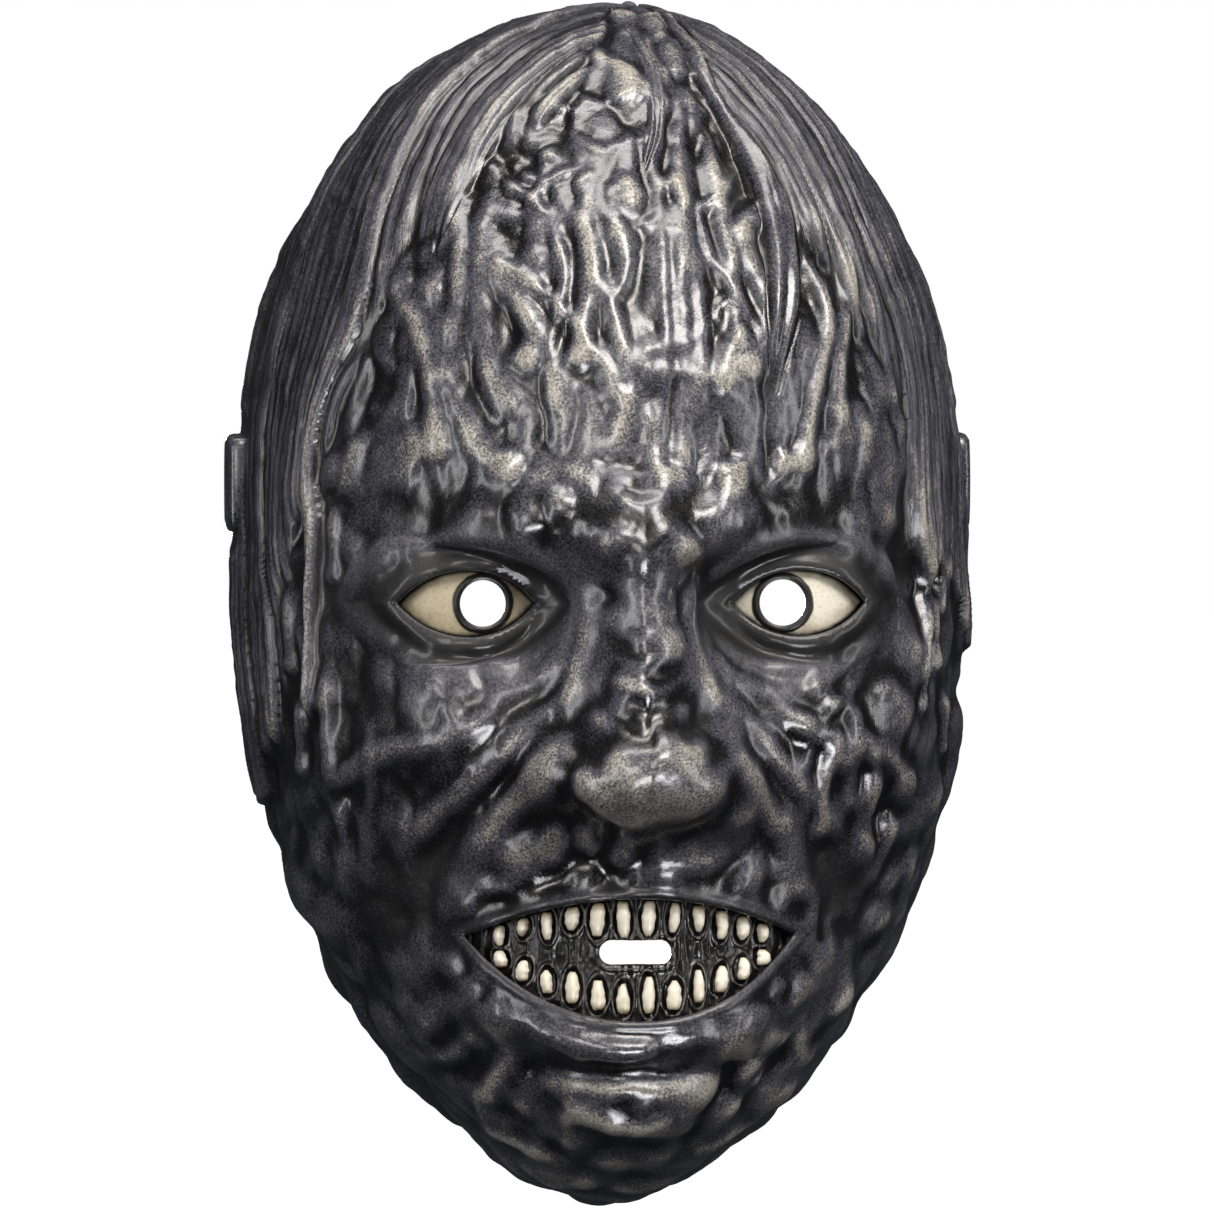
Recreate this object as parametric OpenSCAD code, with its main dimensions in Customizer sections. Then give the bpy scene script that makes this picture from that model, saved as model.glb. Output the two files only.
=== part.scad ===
// Halloween mask: a moulded front-only face shell. Eye cups, a gum plate and two
// rows of teeth are set in from behind, foam pads line it, and an elastic head
// strap with a slider swings on a rivet at each side.
// The face looks along -Y and +Z is up. The rim lies in the plane Y = 0, and
// Z = 0 is the height of the pupils. Left and right are the wearer's: left is +X.

/* [Shell] */
// Half of the width of the shell at its rim
shell_half_width = 79; // [75:1:85]
// Height of the crown above the pupils
crown_height = 128; // [120:1:136]
// Drop of the chin below the pupils
chin_drop = 134; // [126:1:142]
// How far the bare dome of the face stands in front of the rim
dome_depth = 88; // [84:1:92]
// Wall of the moulded shell
shell_wall = 2.4; // [2:0.1:3]
// Height of the moulded hair above the skin
hair_height = 2.4; // [1.5:0.1:3]
// Number of large hair locks in a full turn round the face
lock_count = 22; // [12:1:30]
// Facets across the shell each way
shell_steps = 52; // [30:2:54]

/* [Eyes] */
// Distance of each pupil from the middle of the face
pupil_x = 32.5; // [31:0.5:34]
// Distance of each eyeball's centre from the middle of the face
eye_x = 34; // [33:0.5:35]
// Depth of the eyeball's centre in front of the rim
eye_depth = 55.5; // [54:0.5:57]
// Outer radius of the eye cup
cup_radius = 22; // [21:0.5:22.5]
// Wall of the eye cup
cup_wall = 1.8; // [1.4:0.1:2]
// Radius of the round see-through pupil
pupil_radius = 5; // [4:0.5:6]
// Width between the two corners of the eyelids
eye_width = 30; // [28:1:32]
// Height of the gap between the eyelids
eye_height = 15; // [12:1:16]

/* [Mouth] */
// Half of the distance between the corners of the mouth
mouth_half_width = 36; // [32:1:38]
// Height of the mouth corners
mouth_z = -72; // [-74:1:-70]
// Rise of the upper lip above the corners
upper_lip_rise = 9; // [8:0.5:10]
// Drop of the lower lip below the corners
lower_lip_drop = 18; // [16:0.5:19]
// Radius of the curved gum plate
gum_radius = 46; // [45:0.5:47]
// Depth of the front of the gum plate
gum_depth = 82; // [80:0.5:83]
// Wall of the gum plate
gum_wall = 2; // [1.6:0.1:2.4]
// Width of the breathing slot
slot_width = 16; // [14:0.5:18]
// Height of the breathing slot
slot_height = 5.4; // [4.8:0.1:6]
// Number of teeth in each row
teeth_per_row = 12; // [10:2:14]
// Radius of a tooth
tooth_radius = 2; // [1.8:0.1:2.1]

/* [Strap] */
// Height of the strap rivets above the pupils
pivot_z = 25; // [20:1:30]
// Distance of the strap rivets in front of the rim
pivot_y = -9; // [-10:0.5:-8]
// Width of the elastic
elastic_width = 20; // [18:1:20]
// Thickness of the elastic
elastic_thick = 1.2; // [1:0.1:1.4]
// Distance of the back of the strap behind the rim
strap_back = 97; // [90:1:110]
// Radius of the strap's turn at the back of the head
strap_turn = 35; // [25:1:40]
// Thickness of the anchor loops
loop_thick = 2; // [1.8:0.1:2.4]
// Length of the strap slider
slider_length = 12; // [10:1:14]
// Place of the slider's front edge behind the rim
slider_front = 36; // [34:1:40]

/* [Pads] */
// Thickness of the foam pads
pad_thick = 6; // [4:1:8]
// Glue line between a pad or insert and the shell
glue_gap = 0.4; // [0.3:0.05:0.5]

/* [Hidden] */
$fn = 64;

// Face features: [across, up, half width, half height, rise], half sizes at one sigma
forehead = [0, 62, 40, 28, 5];
glabella = [0, 15, 9, 8, 5];
nose_bridge = [0, -2, 8, 16, 9];
nose_body = [0, -20, 9, 12, 9];
nose_tip = [0, -36, 11.5, 9.5, 17];
muzzle = [0, -75, 26, 18, 6];
chin_crease = [0, -98, 22, 5, -4];
jaw = [0, -105, 34, 22, 16];
chin = [0, -113, 14, 10, 8];
middle_features = [
    forehead, glabella, nose_bridge, nose_body, nose_tip, muzzle, chin_crease, jaw, chin
];
brow = [25, 17, 16, 6, 7];
socket = [34, 0, 16, 10, -12];
nostril_wing = [15, -39, 6, 6.5, 9];
cheekbone = [49, -27, 15, 12, 6];
cheek_hollow = [46, -68, 13, 18, -6];
temple = [62, 20, 10, 18, -4];
jaw_corner = [50, -95, 12, 14, 3];
paired_features = [brow, socket, nostril_wing, cheekbone, cheek_hollow, temple, jaw_corner];

// Melted lumps: [across, up, half width, half height, rise along the skin's normal]
lumps = [
    [72, -48, 6, 8, 3.5], [68, -71, 7, 8, 4], [59, -93, 7, 7, 3.5], [44, -113, 8, 6, 3],
    [-64, -70, 8, 7, 2], [-52, -94, 6, 7, 1.8], [24, -52, 7, 5, 1.6],
    [-26, -54, 6, 6, 1.6], [-44, 34, 8, 6, 1.6], [48, 38, 7, 8, 1.8]
];

// The hair starts outside this ellipse: centre height, half width, half height
hairline_z = -22;
hairline_half_width = 70;
hairline_half_height = 132;
hairline_blend = 0.09;
hair_end_z = -62;
hair_end_blend = 38;
lock_relief = 0.7;

// Shape of the dome
grid_bend = 0.4;
dome_power = 0.8;
crown_power = 2.4;
chin_power = 0.14;
rim_blend = 0.2;
tiny = 0.000001;
step = 0.002;

// Lids and the land round the mouth
lid_gap = 0.8;
lid_radius = cup_radius + lid_gap + shell_wall;
lid_blend = 2;
lid_fall = 3;
cup_limit = 19.5;
eye_arc_radius = (eye_width * eye_width + eye_height * eye_height) / (4 * eye_height);
eye_arc_shift = eye_arc_radius - eye_height / 2;
eye_opening_x = eye_x + 2;
upper_arc_radius = (mouth_half_width * mouth_half_width + upper_lip_rise * upper_lip_rise)
    / (2 * upper_lip_rise);
lower_arc_radius = (mouth_half_width * mouth_half_width + lower_lip_drop * lower_lip_drop)
    / (2 * lower_lip_drop);
upper_arc_z = mouth_z + upper_lip_rise - upper_arc_radius;
lower_arc_z = mouth_z - lower_lip_drop + lower_arc_radius;
gum_axis_y = gum_radius - gum_depth;
gum_margin = 5;
gum_half_width = 37.5;
mouth_land = glue_gap + shell_wall + 1.6;
land_blend = 2;
land_fade = 9;
slot_z = -75;
cut_depth = 130;

// Teeth
row_half_width = 30;
tooth_pitch = 2 * asin(row_half_width / gum_radius) / teeth_per_row;
tooth_sink = 1.2;
upper_teeth_top = -63.6;
upper_tooth_length = 8.2;
upper_row_curve = 0.0072;
upper_row_shrink = 0.0048;
lower_teeth_bottom = -88.4;
lower_tooth_length = 9;
lower_row_curve = 0.0125;
lower_row_shrink = 0.0062;

// Pads: centre and half size on the unit square that the shell is spread over
forehead_pad_place = [0, 0.37];
forehead_pad_size = [0.27, 0.09];
cheek_pad_place = [0.5, -0.168];
cheek_pad_size = [0.1, 0.08];
pad_steps = 12;

// Strap hardware, counted from the side of the shell inwards
lug_outer = shell_half_width + 3.4;
lug_inner = shell_half_width - 2.5;
lug_front = -17;
lug_back = -0.4;
lug_half_height = 11;
lug_corner = 4;
boss_radius = 5;
boss_height = 3.5;
loop_outer = lug_inner - boss_height - 0.3;
loop_inner = loop_outer - loop_thick;
bar_x = (loop_outer + loop_inner) / 2;
bar_y = 7;
shank_radius = 2;
shank_clear = 0.06;
loop_eye_radius = 8;
washer_radius = 6;
washer_thick = 1;
washer_outer = loop_inner - 0.3;
washer_inner = washer_outer - washer_thick;
rivet_head_radius = 4.5;
rivet_head_thick = 1.5;
head_recess_radius = 4.8;
frame_front = -1;
slot_front = 1.6;
loop_slot_half = elastic_width / 2 + 0.4;
frame_half = loop_slot_half + 2.6;
wrap_inner = loop_thick / 2 + 0.2;
wrap_outer = wrap_inner + elastic_thick;
leg_end = strap_back - strap_turn;
turn_x = bar_x + wrap_outer - strap_turn;
tail_straight = 16;
tail_join = 24;
tail_end = 44;
return_end = slider_front + slider_length + 6;
slider_clear = 0.3;
slider_wall = 1.5;
slider_edge = 2;
slider_corner = 1.4;

function smooth_step(low, high, value) =
    let (u = min(1, max(0, (value - low) / (high - low))))
    u * u * (3 - 2 * u);

function smooth_max(a, b, blend) = (a + b + sqrt(pow(a - b, 2) + blend * blend)) / 2;

function bump(f, x, z) =
    f[4] * exp(-(pow((x - f[0]) / f[2], 2) + pow((z - f[1]) / f[3], 2)) / 2);

function total(values) = values * [for (v = values) 1];

// Front of the lids, a ball round each eye that falls away past its edge
function lid_front(x, z) =
    let (d = norm([abs(x) - eye_x, z]))
    d < lid_radius
        ? eye_depth + sqrt(lid_radius * lid_radius - d * d)
        : eye_depth - lid_fall * (d - lid_radius);

// Land in front of the gum plate, so that the plate lies flat behind the lips
function land_front(x) =
    -gum_axis_y + sqrt(max(1, gum_radius * gum_radius - x * x)) + mouth_land;

// Distance outside the gap between the lips, negative inside it
function past_lips(x, z) = max(
    norm([x, z - upper_arc_z]) - upper_arc_radius,
    norm([x, z - lower_arc_z]) - lower_arc_radius
);

function front_depth(x, z, c) =
    let (
        relief = total([for (f = middle_features) bump(f, x, z)])
            + total([for (f = paired_features) bump(f, abs(x), z)]),
        skin = dome_depth * pow(c, dome_power) + relief * smooth_step(0, rim_blend, c),
        lids = smooth_max(skin, lid_front(x, z), lid_blend),
        weight = 1 - smooth_step(gum_margin, gum_margin + land_fade, past_lips(x, z)),
        land = smooth_max(lids, land_front(x), land_blend)
    )
    c < tiny ? 0 : lids * (1 - weight) + land * weight;

function hair_cover(x, z) =
    let (
        reach = norm([x / hairline_half_width, (z - hairline_z) / hairline_half_height])
    )
    smooth_step(1, 1 + hairline_blend, reach)
    * smooth_step(hair_end_z, hair_end_z + hair_end_blend, z);

function skin_relief(x, z) =
    let (
        turn = atan2(z - hairline_z, x),
        locks = hair_height + lock_relief * cos(lock_count * turn)
    )
    hair_cover(x, z) * locks + total([for (f = lumps) bump(f, x, z)]);

// Spreads the square -1..1 by -1..1 over a half ball that faces -Y
function ball_point(u, v) =
    let (
        s = (1 - grid_bend) * u + grid_bend * sin(90 * u),
        t = (1 - grid_bend) * v + grid_bend * sin(90 * v),
        p = s * sqrt(1 - t * t / 2),
        q = t * sqrt(1 - s * s / 2),
        r2 = min(1, p * p + q * q),
        k = sqrt(2 - r2)
    )
    [p * k, r2 - 1, q * k];

// Point of the outer skin
function skin_point(u, v) =
    let (
        ball = ball_point(u, v),
        rest = max(tiny, 1 - ball.z * ball.z),
        crown_fullness = sqrt((1 - pow(abs(ball.z), crown_power)) / rest),
        fullness = ball.z > 0 ? crown_fullness : pow(rest, chin_power),
        x = shell_half_width * fullness * ball.x,
        z = (ball.z > 0 ? crown_height : chin_drop) * ball.z,
        front = [x, -front_depth(x, z, -ball.y), z]
    )
    front + ball * skin_relief(x, z);

function unit(v) = v / norm(v);

// Outward direction of the skin, turned into the rim plane near the rim
function skin_normal(u, v) =
    let (
        ball = ball_point(u, v),
        weight = smooth_step(0.02, rim_blend, -ball.y),
        across = skin_point(u + step, v) - skin_point(u - step, v),
        up = skin_point(u, v + step) - skin_point(u, v - step)
    )
    weight == 0 ? ball : unit(ball * (1 - weight) + unit(cross(across, up)) * weight);

function under_skin(u, v, below) =
    below == 0 ? skin_point(u, v) : skin_point(u, v) - below * skin_normal(u, v);

// Two triangles between an edge of the outer face and the same edge of the inner face
function edge_faces(a, b, k) = [[a, b, b + k], [a, b + k, a + k]];

function slab_faces(n) =
    let (m = n + 1, k = m * m)
    [
        for (i = [0:n - 1])
            for (j = [0:n - 1])
                let (a = i * m + j, b = a + 1, c = a + m, d = c + 1)
                each [[a, b, d], [a, d, c], [k + a, k + d, k + b], [k + a, k + c, k + d]],
        for (i = [0:n - 1])
            each concat(
                edge_faces(i * m, (i + 1) * m, k),
                edge_faces((i + 2) * m - 1, (i + 1) * m - 1, k),
                edge_faces(i + 1, i, k),
                edge_faces(n * m + i, n * m + i + 1, k)
            )
    ];

// Closed solid between two depths under the skin, over the patch that place() gives
module skin_slab(n, place, top, bottom) {
    square_grid = [for (i = [0:n]) for (j = [0:n]) [2 * i / n - 1, 2 * j / n - 1]];
    patch = [for (g = square_grid) place(g.x, g.y)];
    outer = [for (g = patch) under_skin(g.x, g.y, top)];
    inner = [for (g = patch) under_skin(g.x, g.y, bottom)];
    polyhedron(points = concat(outer, inner), faces = slab_faces(n));
}

// Draws its flat children in X and Z and runs them forward from the rim
module along_depth(depth) {
    rotate([90, 0, 0])
        linear_extrude(depth)
            children();
}

// Draws its flat children in Y and Z and runs them from one X to another
module along_width(from_x, to_x) {
    translate([from_x, 0, 0])
        rotate([90, 0, 90])
            linear_extrude(to_x - from_x)
                children();
}

module rounded_rectangle(width, height, corner) {
    square([width - 2 * corner, height], center = true);
    square([width, height - 2 * corner], center = true);
    for (sx = [-1, 1])
        for (sy = [-1, 1])
            translate([sx * (width / 2 - corner), sy * (height / 2 - corner)])
                circle(corner);
}

module lens(upper_radius, upper_z, lower_radius, lower_z) {
    intersection() {
        translate([0, upper_z])
            circle(upper_radius);
        translate([0, lower_z])
            circle(lower_radius);
    }
}

module both_sides() {
    children();
    mirror([1, 0, 0])
        children();
}

module pivot_cylinder(radius, from_x, to_x) {
    translate([from_x, pivot_y, pivot_z])
        rotate([0, 90, 0])
            cylinder(r = radius, h = to_x - from_x);
}

module strap_lug() {
    along_width(lug_inner, lug_outer)
        translate([(lug_front + lug_back) / 2, pivot_z])
            rounded_rectangle(lug_back - lug_front, 2 * lug_half_height, lug_corner);
    pivot_cylinder(boss_radius, lug_inner - boss_height, lug_inner + 1);
}

module face_shell() {
    color("#2b2a2e")
        difference() {
            union() {
                skin_slab(shell_steps, function(a, b) [a, b], 0, shell_wall);
                both_sides()
                    strap_lug();
            }
            both_sides() {
                along_depth(cut_depth)
                    translate([eye_opening_x, 0])
                        lens(eye_arc_radius, -eye_arc_shift, eye_arc_radius, eye_arc_shift);
                pivot_cylinder(shank_radius + shank_clear, lug_inner - boss_height - 1, lug_outer);
                pivot_cylinder(
                    head_recess_radius, lug_outer - rivet_head_thick - 0.1, lug_outer + 1
                );
            }
            along_depth(cut_depth)
                lens(upper_arc_radius, upper_arc_z, lower_arc_radius, lower_arc_z);
        }
}

module eye_cup(side) {
    color("#d9cfae")
        difference() {
            translate([side * eye_x, -eye_depth, 0])
                difference() {
                    intersection() {
                        sphere(cup_radius);
                        rotate([90, 0, 0])
                            cylinder(r = cup_limit, h = cup_radius + 1);
                    }
                    sphere(cup_radius - cup_wall);
                }
            translate([side * pupil_x, 0, 0])
                rotate([90, 0, 0])
                    cylinder(r = pupil_radius, h = cut_depth);
        }
}

module eye_cup_left() {
    eye_cup(1);
}

module eye_cup_right() {
    eye_cup(-1);
}

module gum_plate() {
    color("#141213")
        difference() {
            intersection() {
                translate([0, gum_axis_y, lower_arc_z - lower_arc_radius - 2 * gum_margin])
                    cylinder(r = gum_radius, h = 60, $fn = 128);
                along_depth(cut_depth)
                    intersection() {
                        lens(
                            upper_arc_radius + gum_margin, upper_arc_z,
                            lower_arc_radius + gum_margin, lower_arc_z
                        );
                        translate([0, mouth_z])
                            square([2 * gum_half_width, 80], center = true);
                    }
            }
            translate([0, gum_axis_y, lower_arc_z - lower_arc_radius - 3 * gum_margin])
                cylinder(r = gum_radius - gum_wall, h = 80, $fn = 128);
            translate([-gum_radius, gum_axis_y, mouth_z - gum_radius])
                cube([2 * gum_radius, gum_radius, 2 * gum_radius]);
            along_depth(cut_depth)
                translate([0, slot_z])
                    breathing_slot();
        }
}

module breathing_slot() {
    straight = slot_width - slot_height;
    square([straight, slot_height], center = true);
    for (side = [-1, 1])
        translate([side * straight / 2, 0])
            circle(slot_height / 2);
}

// A tooth with rounded ends, standing on z = 0
module tooth(length) {
    translate([0, 0, tooth_radius])
        cylinder(r = tooth_radius, h = length - 2 * tooth_radius, $fn = 32);
    for (z = [tooth_radius, length - tooth_radius])
        translate([0, 0, z])
            sphere(tooth_radius, $fn = 32);
}

// Places its child on the gum plate, at a place counted from the middle of the row
module on_gum(place) {
    reach = gum_radius + tooth_radius - tooth_sink;
    angle = (place + 0.5) * tooth_pitch;
    translate([reach * sin(angle), gum_axis_y - reach * cos(angle), 0])
        children();
}

function row_x(place) = gum_radius * sin((place + 0.5) * tooth_pitch);

module teeth_upper() {
    color("#e6dcc0")
        for (place = [-teeth_per_row / 2:teeth_per_row / 2 - 1]) {
            x2 = row_x(place) * row_x(place);
            length = upper_tooth_length - upper_row_shrink * x2;
            top = upper_teeth_top - upper_row_curve * x2;
            on_gum(place)
                translate([0, 0, top - length])
                    tooth(length);
        }
}

module teeth_lower() {
    color("#e6dcc0")
        for (place = [-teeth_per_row / 2:teeth_per_row / 2 - 1]) {
            x2 = row_x(place) * row_x(place);
            on_gum(place)
                translate([0, 0, lower_teeth_bottom + lower_row_curve * x2])
                    tooth(lower_tooth_length - lower_row_shrink * x2);
        }
}

// Oval foam pad glued under the skin
module pad(place, size) {
    color("#1d1d1f")
        skin_slab(
            pad_steps,
            function(a, b) [
                place.x + size.x * a * sqrt(1 - b * b / 2),
                place.y + size.y * b * sqrt(1 - a * a / 2)
            ],
            shell_wall + glue_gap,
            shell_wall + glue_gap + pad_thick
        );
}

module forehead_pad() {
    pad(forehead_pad_place, forehead_pad_size);
}

module cheek_pad_left() {
    pad(cheek_pad_place, cheek_pad_size);
}

module cheek_pad_right() {
    mirror([1, 0, 0])
        pad(cheek_pad_place, cheek_pad_size);
}

module strap_rivet() {
    color("#8d8f93") {
        pivot_cylinder(shank_radius, washer_inner - 1, lug_outer - 1);
        pivot_cylinder(rivet_head_radius, lug_outer - rivet_head_thick, lug_outer - 0.2);
        pivot_cylinder(rivet_head_radius, washer_inner - rivet_head_thick, washer_inner);
    }
}

module strap_rivet_left() {
    strap_rivet();
}

module strap_rivet_right() {
    mirror([1, 0, 0])
        strap_rivet();
}

module rivet_washer() {
    color("#a3a5a8")
        difference() {
            pivot_cylinder(washer_radius, washer_inner, washer_outer);
            pivot_cylinder(shank_radius, washer_inner - 1, washer_outer + 1);
        }
}

module rivet_washer_left() {
    rivet_washer();
}

module rivet_washer_right() {
    mirror([1, 0, 0])
        rivet_washer();
}

module loop_outline() {
    translate([pivot_y, pivot_z])
        circle(loop_eye_radius);
    polygon([
        [pivot_y, pivot_z - loop_eye_radius],
        [frame_front, pivot_z - frame_half],
        [bar_y, pivot_z - frame_half],
        [bar_y, pivot_z + frame_half],
        [frame_front, pivot_z + frame_half],
        [pivot_y, pivot_z + loop_eye_radius]
    ]);
}

module anchor_loop() {
    color("#1b1b1d") {
        difference() {
            along_width(loop_inner, loop_outer)
                difference() {
                    loop_outline();
                    translate([slot_front, pivot_z - loop_slot_half])
                        square([bar_y - slot_front + 1, 2 * loop_slot_half]);
                }
            pivot_cylinder(shank_radius + shank_clear, loop_inner - 1, loop_outer + 1);
        }
        translate([bar_x, bar_y, pivot_z - frame_half])
            cylinder(r = loop_thick / 2, h = 2 * frame_half);
    }
}

module anchor_loop_left() {
    anchor_loop();
}

module anchor_loop_right() {
    mirror([1, 0, 0])
        anchor_loop();
}

// Elastic drawn in X and Y and run over the width of the strap
module elastic() {
    color("#18181a")
        translate([0, 0, pivot_z - elastic_width / 2])
            linear_extrude(elastic_width)
                children();
}

// From the wrap round the bar along one side to the middle of the back
module half_strap() {
    intersection() {
        translate([bar_x, bar_y])
            ring(wrap_outer, wrap_inner);
        translate([bar_x - wrap_outer, bar_y - wrap_outer])
            square([2 * wrap_outer, wrap_outer]);
    }
    translate([bar_x + wrap_inner, bar_y])
        square([elastic_thick, leg_end - bar_y]);
    intersection() {
        translate([turn_x, leg_end])
            ring(strap_turn, strap_turn - elastic_thick);
        translate([turn_x, leg_end])
            square(strap_turn);
    }
    translate([0, strap_back - elastic_thick])
        square([turn_x, elastic_thick]);
}

module ring(outer, inner) {
    difference() {
        circle(outer);
        circle(inner);
    }
}

module sewn_tail() {
    near = bar_x - wrap_outer;
    far = bar_x + wrap_inner;
    polygon([
        [near, bar_y],
        [near + elastic_thick, bar_y],
        [near + elastic_thick, tail_straight],
        [far, tail_join],
        [far, tail_end],
        [far - elastic_thick, tail_end],
        [far - elastic_thick, tail_join],
        [near, tail_straight]
    ]);
}

module strap_band() {
    elastic() {
        half_strap();
        mirror([1, 0]) {
            half_strap();
            sewn_tail();
        }
    }
}

module strap_return() {
    elastic()
        translate([bar_x - wrap_outer, bar_y])
            square([elastic_thick, return_end - bar_y]);
}

module strap_slider() {
    channel = elastic_thick + 2 * slider_clear;
    width = 2 * (wrap_outer + slider_clear + slider_wall);
    height = elastic_width + 2 * (slider_clear + slider_edge);
    color("#1b1b1d")
        translate([bar_x, slider_front, pivot_z])
            rotate([-90, 0, 0])
                linear_extrude(slider_length)
                    difference() {
                        rounded_rectangle(width, height, slider_corner);
                        for (side = [-1, 1])
                            translate([side * (wrap_inner + elastic_thick / 2), 0])
                                square([channel, elastic_width + 2 * slider_clear], center = true);
                    }
}

face_shell();
eye_cup_left();
eye_cup_right();
gum_plate();
teeth_upper();
teeth_lower();
forehead_pad();
cheek_pad_left();
cheek_pad_right();
strap_rivet_left();
strap_rivet_right();
rivet_washer_left();
rivet_washer_right();
anchor_loop_left();
anchor_loop_right();
strap_band();
strap_return();
strap_slider();
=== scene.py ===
import math

import bmesh
import bpy
import numpy as np
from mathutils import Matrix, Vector


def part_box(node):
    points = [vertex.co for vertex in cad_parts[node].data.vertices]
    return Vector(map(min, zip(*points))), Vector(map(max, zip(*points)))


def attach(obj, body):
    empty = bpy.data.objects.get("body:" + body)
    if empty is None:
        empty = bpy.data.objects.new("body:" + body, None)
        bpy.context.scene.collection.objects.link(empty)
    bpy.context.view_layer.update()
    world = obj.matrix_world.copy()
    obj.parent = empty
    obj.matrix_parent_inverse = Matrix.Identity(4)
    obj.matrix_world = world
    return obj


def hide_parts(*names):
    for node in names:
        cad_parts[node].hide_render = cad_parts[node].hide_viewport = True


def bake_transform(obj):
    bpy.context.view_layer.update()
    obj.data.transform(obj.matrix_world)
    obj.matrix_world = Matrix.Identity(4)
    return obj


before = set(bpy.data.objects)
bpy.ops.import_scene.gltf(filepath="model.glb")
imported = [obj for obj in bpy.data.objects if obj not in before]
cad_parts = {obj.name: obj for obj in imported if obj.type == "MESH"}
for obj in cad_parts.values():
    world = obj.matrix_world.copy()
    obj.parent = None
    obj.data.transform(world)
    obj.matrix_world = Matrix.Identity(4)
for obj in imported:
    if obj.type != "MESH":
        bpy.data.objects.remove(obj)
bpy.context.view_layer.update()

# ---------------------------------------------------------------- sizes, in mm
MM = 0.001

# Squares along one side of the skin's grid and of the inside's, and the size of a skin square
SKIN_STEPS = 640
BACK_STEPS = 170
GRID_MM = 165.0 / SKIN_STEPS

# The dome of the face, as in the CAD model
HALF_WIDTH = 79.0
CROWN = 128.0
CHIN = 134.0
DOME_DEPTH = 88.0
WALL = 2.4
GRID_BEND = 0.4
DOME_POWER = 0.8
CROWN_POWER = 2.4
CHIN_POWER = 0.14
RIM_BLEND = 0.2

# Face features: across, up, half width, half height, rise
MIDDLE_FEATURES = {
    "forehead": (0, 62, 40, 28, 5),
    "glabella": (0, 15, 9, 8, 5),
    "nose_bridge": (0, -2, 8, 16, 9),
    "nose_body": (0, -20, 9, 12, 9),
    "nose_tip": (0, -36, 11.5, 9.5, 17),
    "muzzle": (0, -75, 26, 18, 6),
    "chin_crease": (0, -98, 22, 5, -4),
    "jaw": (0, -105, 34, 22, 16),
    "chin": (0, -113, 14, 10, 8),
}
PAIRED_FEATURES = {
    "brow": (25, 17, 16, 6, 7),
    "socket": (34, 0, 16, 10, -12),
    "nostril_wing": (15, -39, 6, 6.5, 9),
    "cheekbone": (49, -27, 15, 12, 6),
    "cheek_hollow": (46, -68, 13, 18, -6),
    "temple": (62, 20, 10, 18, -4),
    "jaw_corner": (50, -95, 12, 14, 3),
}

# Swellings of the scarred skin, in the same five numbers
LUMPS = [
    (72, -48, 6, 8, 3.5), (68, -71, 7, 8, 4), (59, -93, 7, 7, 3.5), (44, -113, 8, 6, 3),
    (-64, -70, 8, 7, 2.0), (-52, -94, 6, 7, 1.8), (24, -52, 7, 5, 1.6), (-26, -54, 6, 6, 1.6),
    (-44, 34, 8, 6, 1.6), (48, 38, 7, 8, 1.8),
]

# Rounded lumps on the outline: place beside the rim, radius, rise
SIDE_LUMPS = [
    (78, -14, -9, 14, 3.6), (75, -15, -36, 16, 6.6), (70, -15, -60, 14, 5.4),
    (66, -15, -81, 15, 7.0), (56, -15, -103, 15, 7.0), (39, -14, -121, 14, 5.4),
    (-62, -10, -84, 12, 2.4), (-46, -10, -110, 12, 3.0), (-20, -10, -130, 11, 2.6),
]

# Ridges over the unrolled skin: points across and up, width, height
BROW_VEINS = [
    ([(-38, 86), (-24, 74), (-12, 60), (-4, 44), (-6, 30)], 2.2, 2.0),
    ([(-12, 60), (2, 52), (14, 50), (26, 42)], 1.7, 1.7),
    ([(16, 96), (18, 80), (26, 66), (30, 56)], 1.8, 1.8),
]
CHEEK_FOLDS = [
    ([(15, -28), (25, -42), (37, -58), (47, -80)], 5.5, 3.6),
    ([(20, -23), (33, -37), (47, -51), (58, -74)], 5.0, 2.8),
    ([(26, -20), (42, -30), (60, -36), (80, -52)], 4.6, 2.6),
]
WET_STRANDS = [
    ([(17, 176), (27, 138), (35, 108), (36, 80), (31, 48)], 6.0, 4.2),
    ([(22, 170), (36, 132), (44, 104), (46, 86)], 3.4, 2.3),
    ([(-8, 170), (-28, 132), (-42, 104), (-47, 86)], 3.6, 2.2),
    ([(5, 168), (9, 138), (8, 118), (4, 104)], 2.6, 1.8),
]

# Single blisters: across, up, radius. Patches of them: centre, spread, how many, middling radius
BLISTERS = [
    (-29, 30, 4.6), (-18, 22, 3.6), (-7, 14, 3.8), (9, 12, 4.2), (20, 27, 4.8), (33, 31, 4.2),
    (-7, -33, 3.6), (4, -28, 3.8), (-2, -25, 2.8), (-13, -40, 4.6), (13, -41, 5.0),
    (44, 36, 3.2), (-3, -16, 3.8), (5, -9, 3.4), (-6, -3, 3.2), (21, -47, 4.6),
    (-19, -52, 3.6), (-5, -21, 3.0), (-9, -25, 3.0), (0, -19, 2.8), (8, -23, 3.4),
    (-11, -31, 3.2), (-13, -36, 3.0), (-6, -29, 2.8), (11, -31, 3.2), (2, -33, 2.8),
    (-4, -38, 2.6), (7, -41, 2.8), (16, -36, 3.0), (58, -62, 6.5), (70, -88, 7.5),
    (62, -112, 6.5), (-62, -70, 5.5), (10, 100, 3.8), (24, 60, 3.6),
]
BLISTER_PATCHES = [
    ((0, 24), (36, 9), 14, 2.5), ((0, -36), (11, 9), 14, 2.2), ((-48, -34), (17, 16), 9, 3.0),
    ((48, -34), (17, 16), 11, 3.2), ((0, 100), (30, 14), 12, 2.5),
    ((0, -125), (36, 18), 12, 4.0), ((-72, -74), (16, 26), 8, 4.5),
    ((74, -74), (16, 30), 12, 5.5), ((0, -54), (26, 5), 7, 2.2),
]

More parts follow.
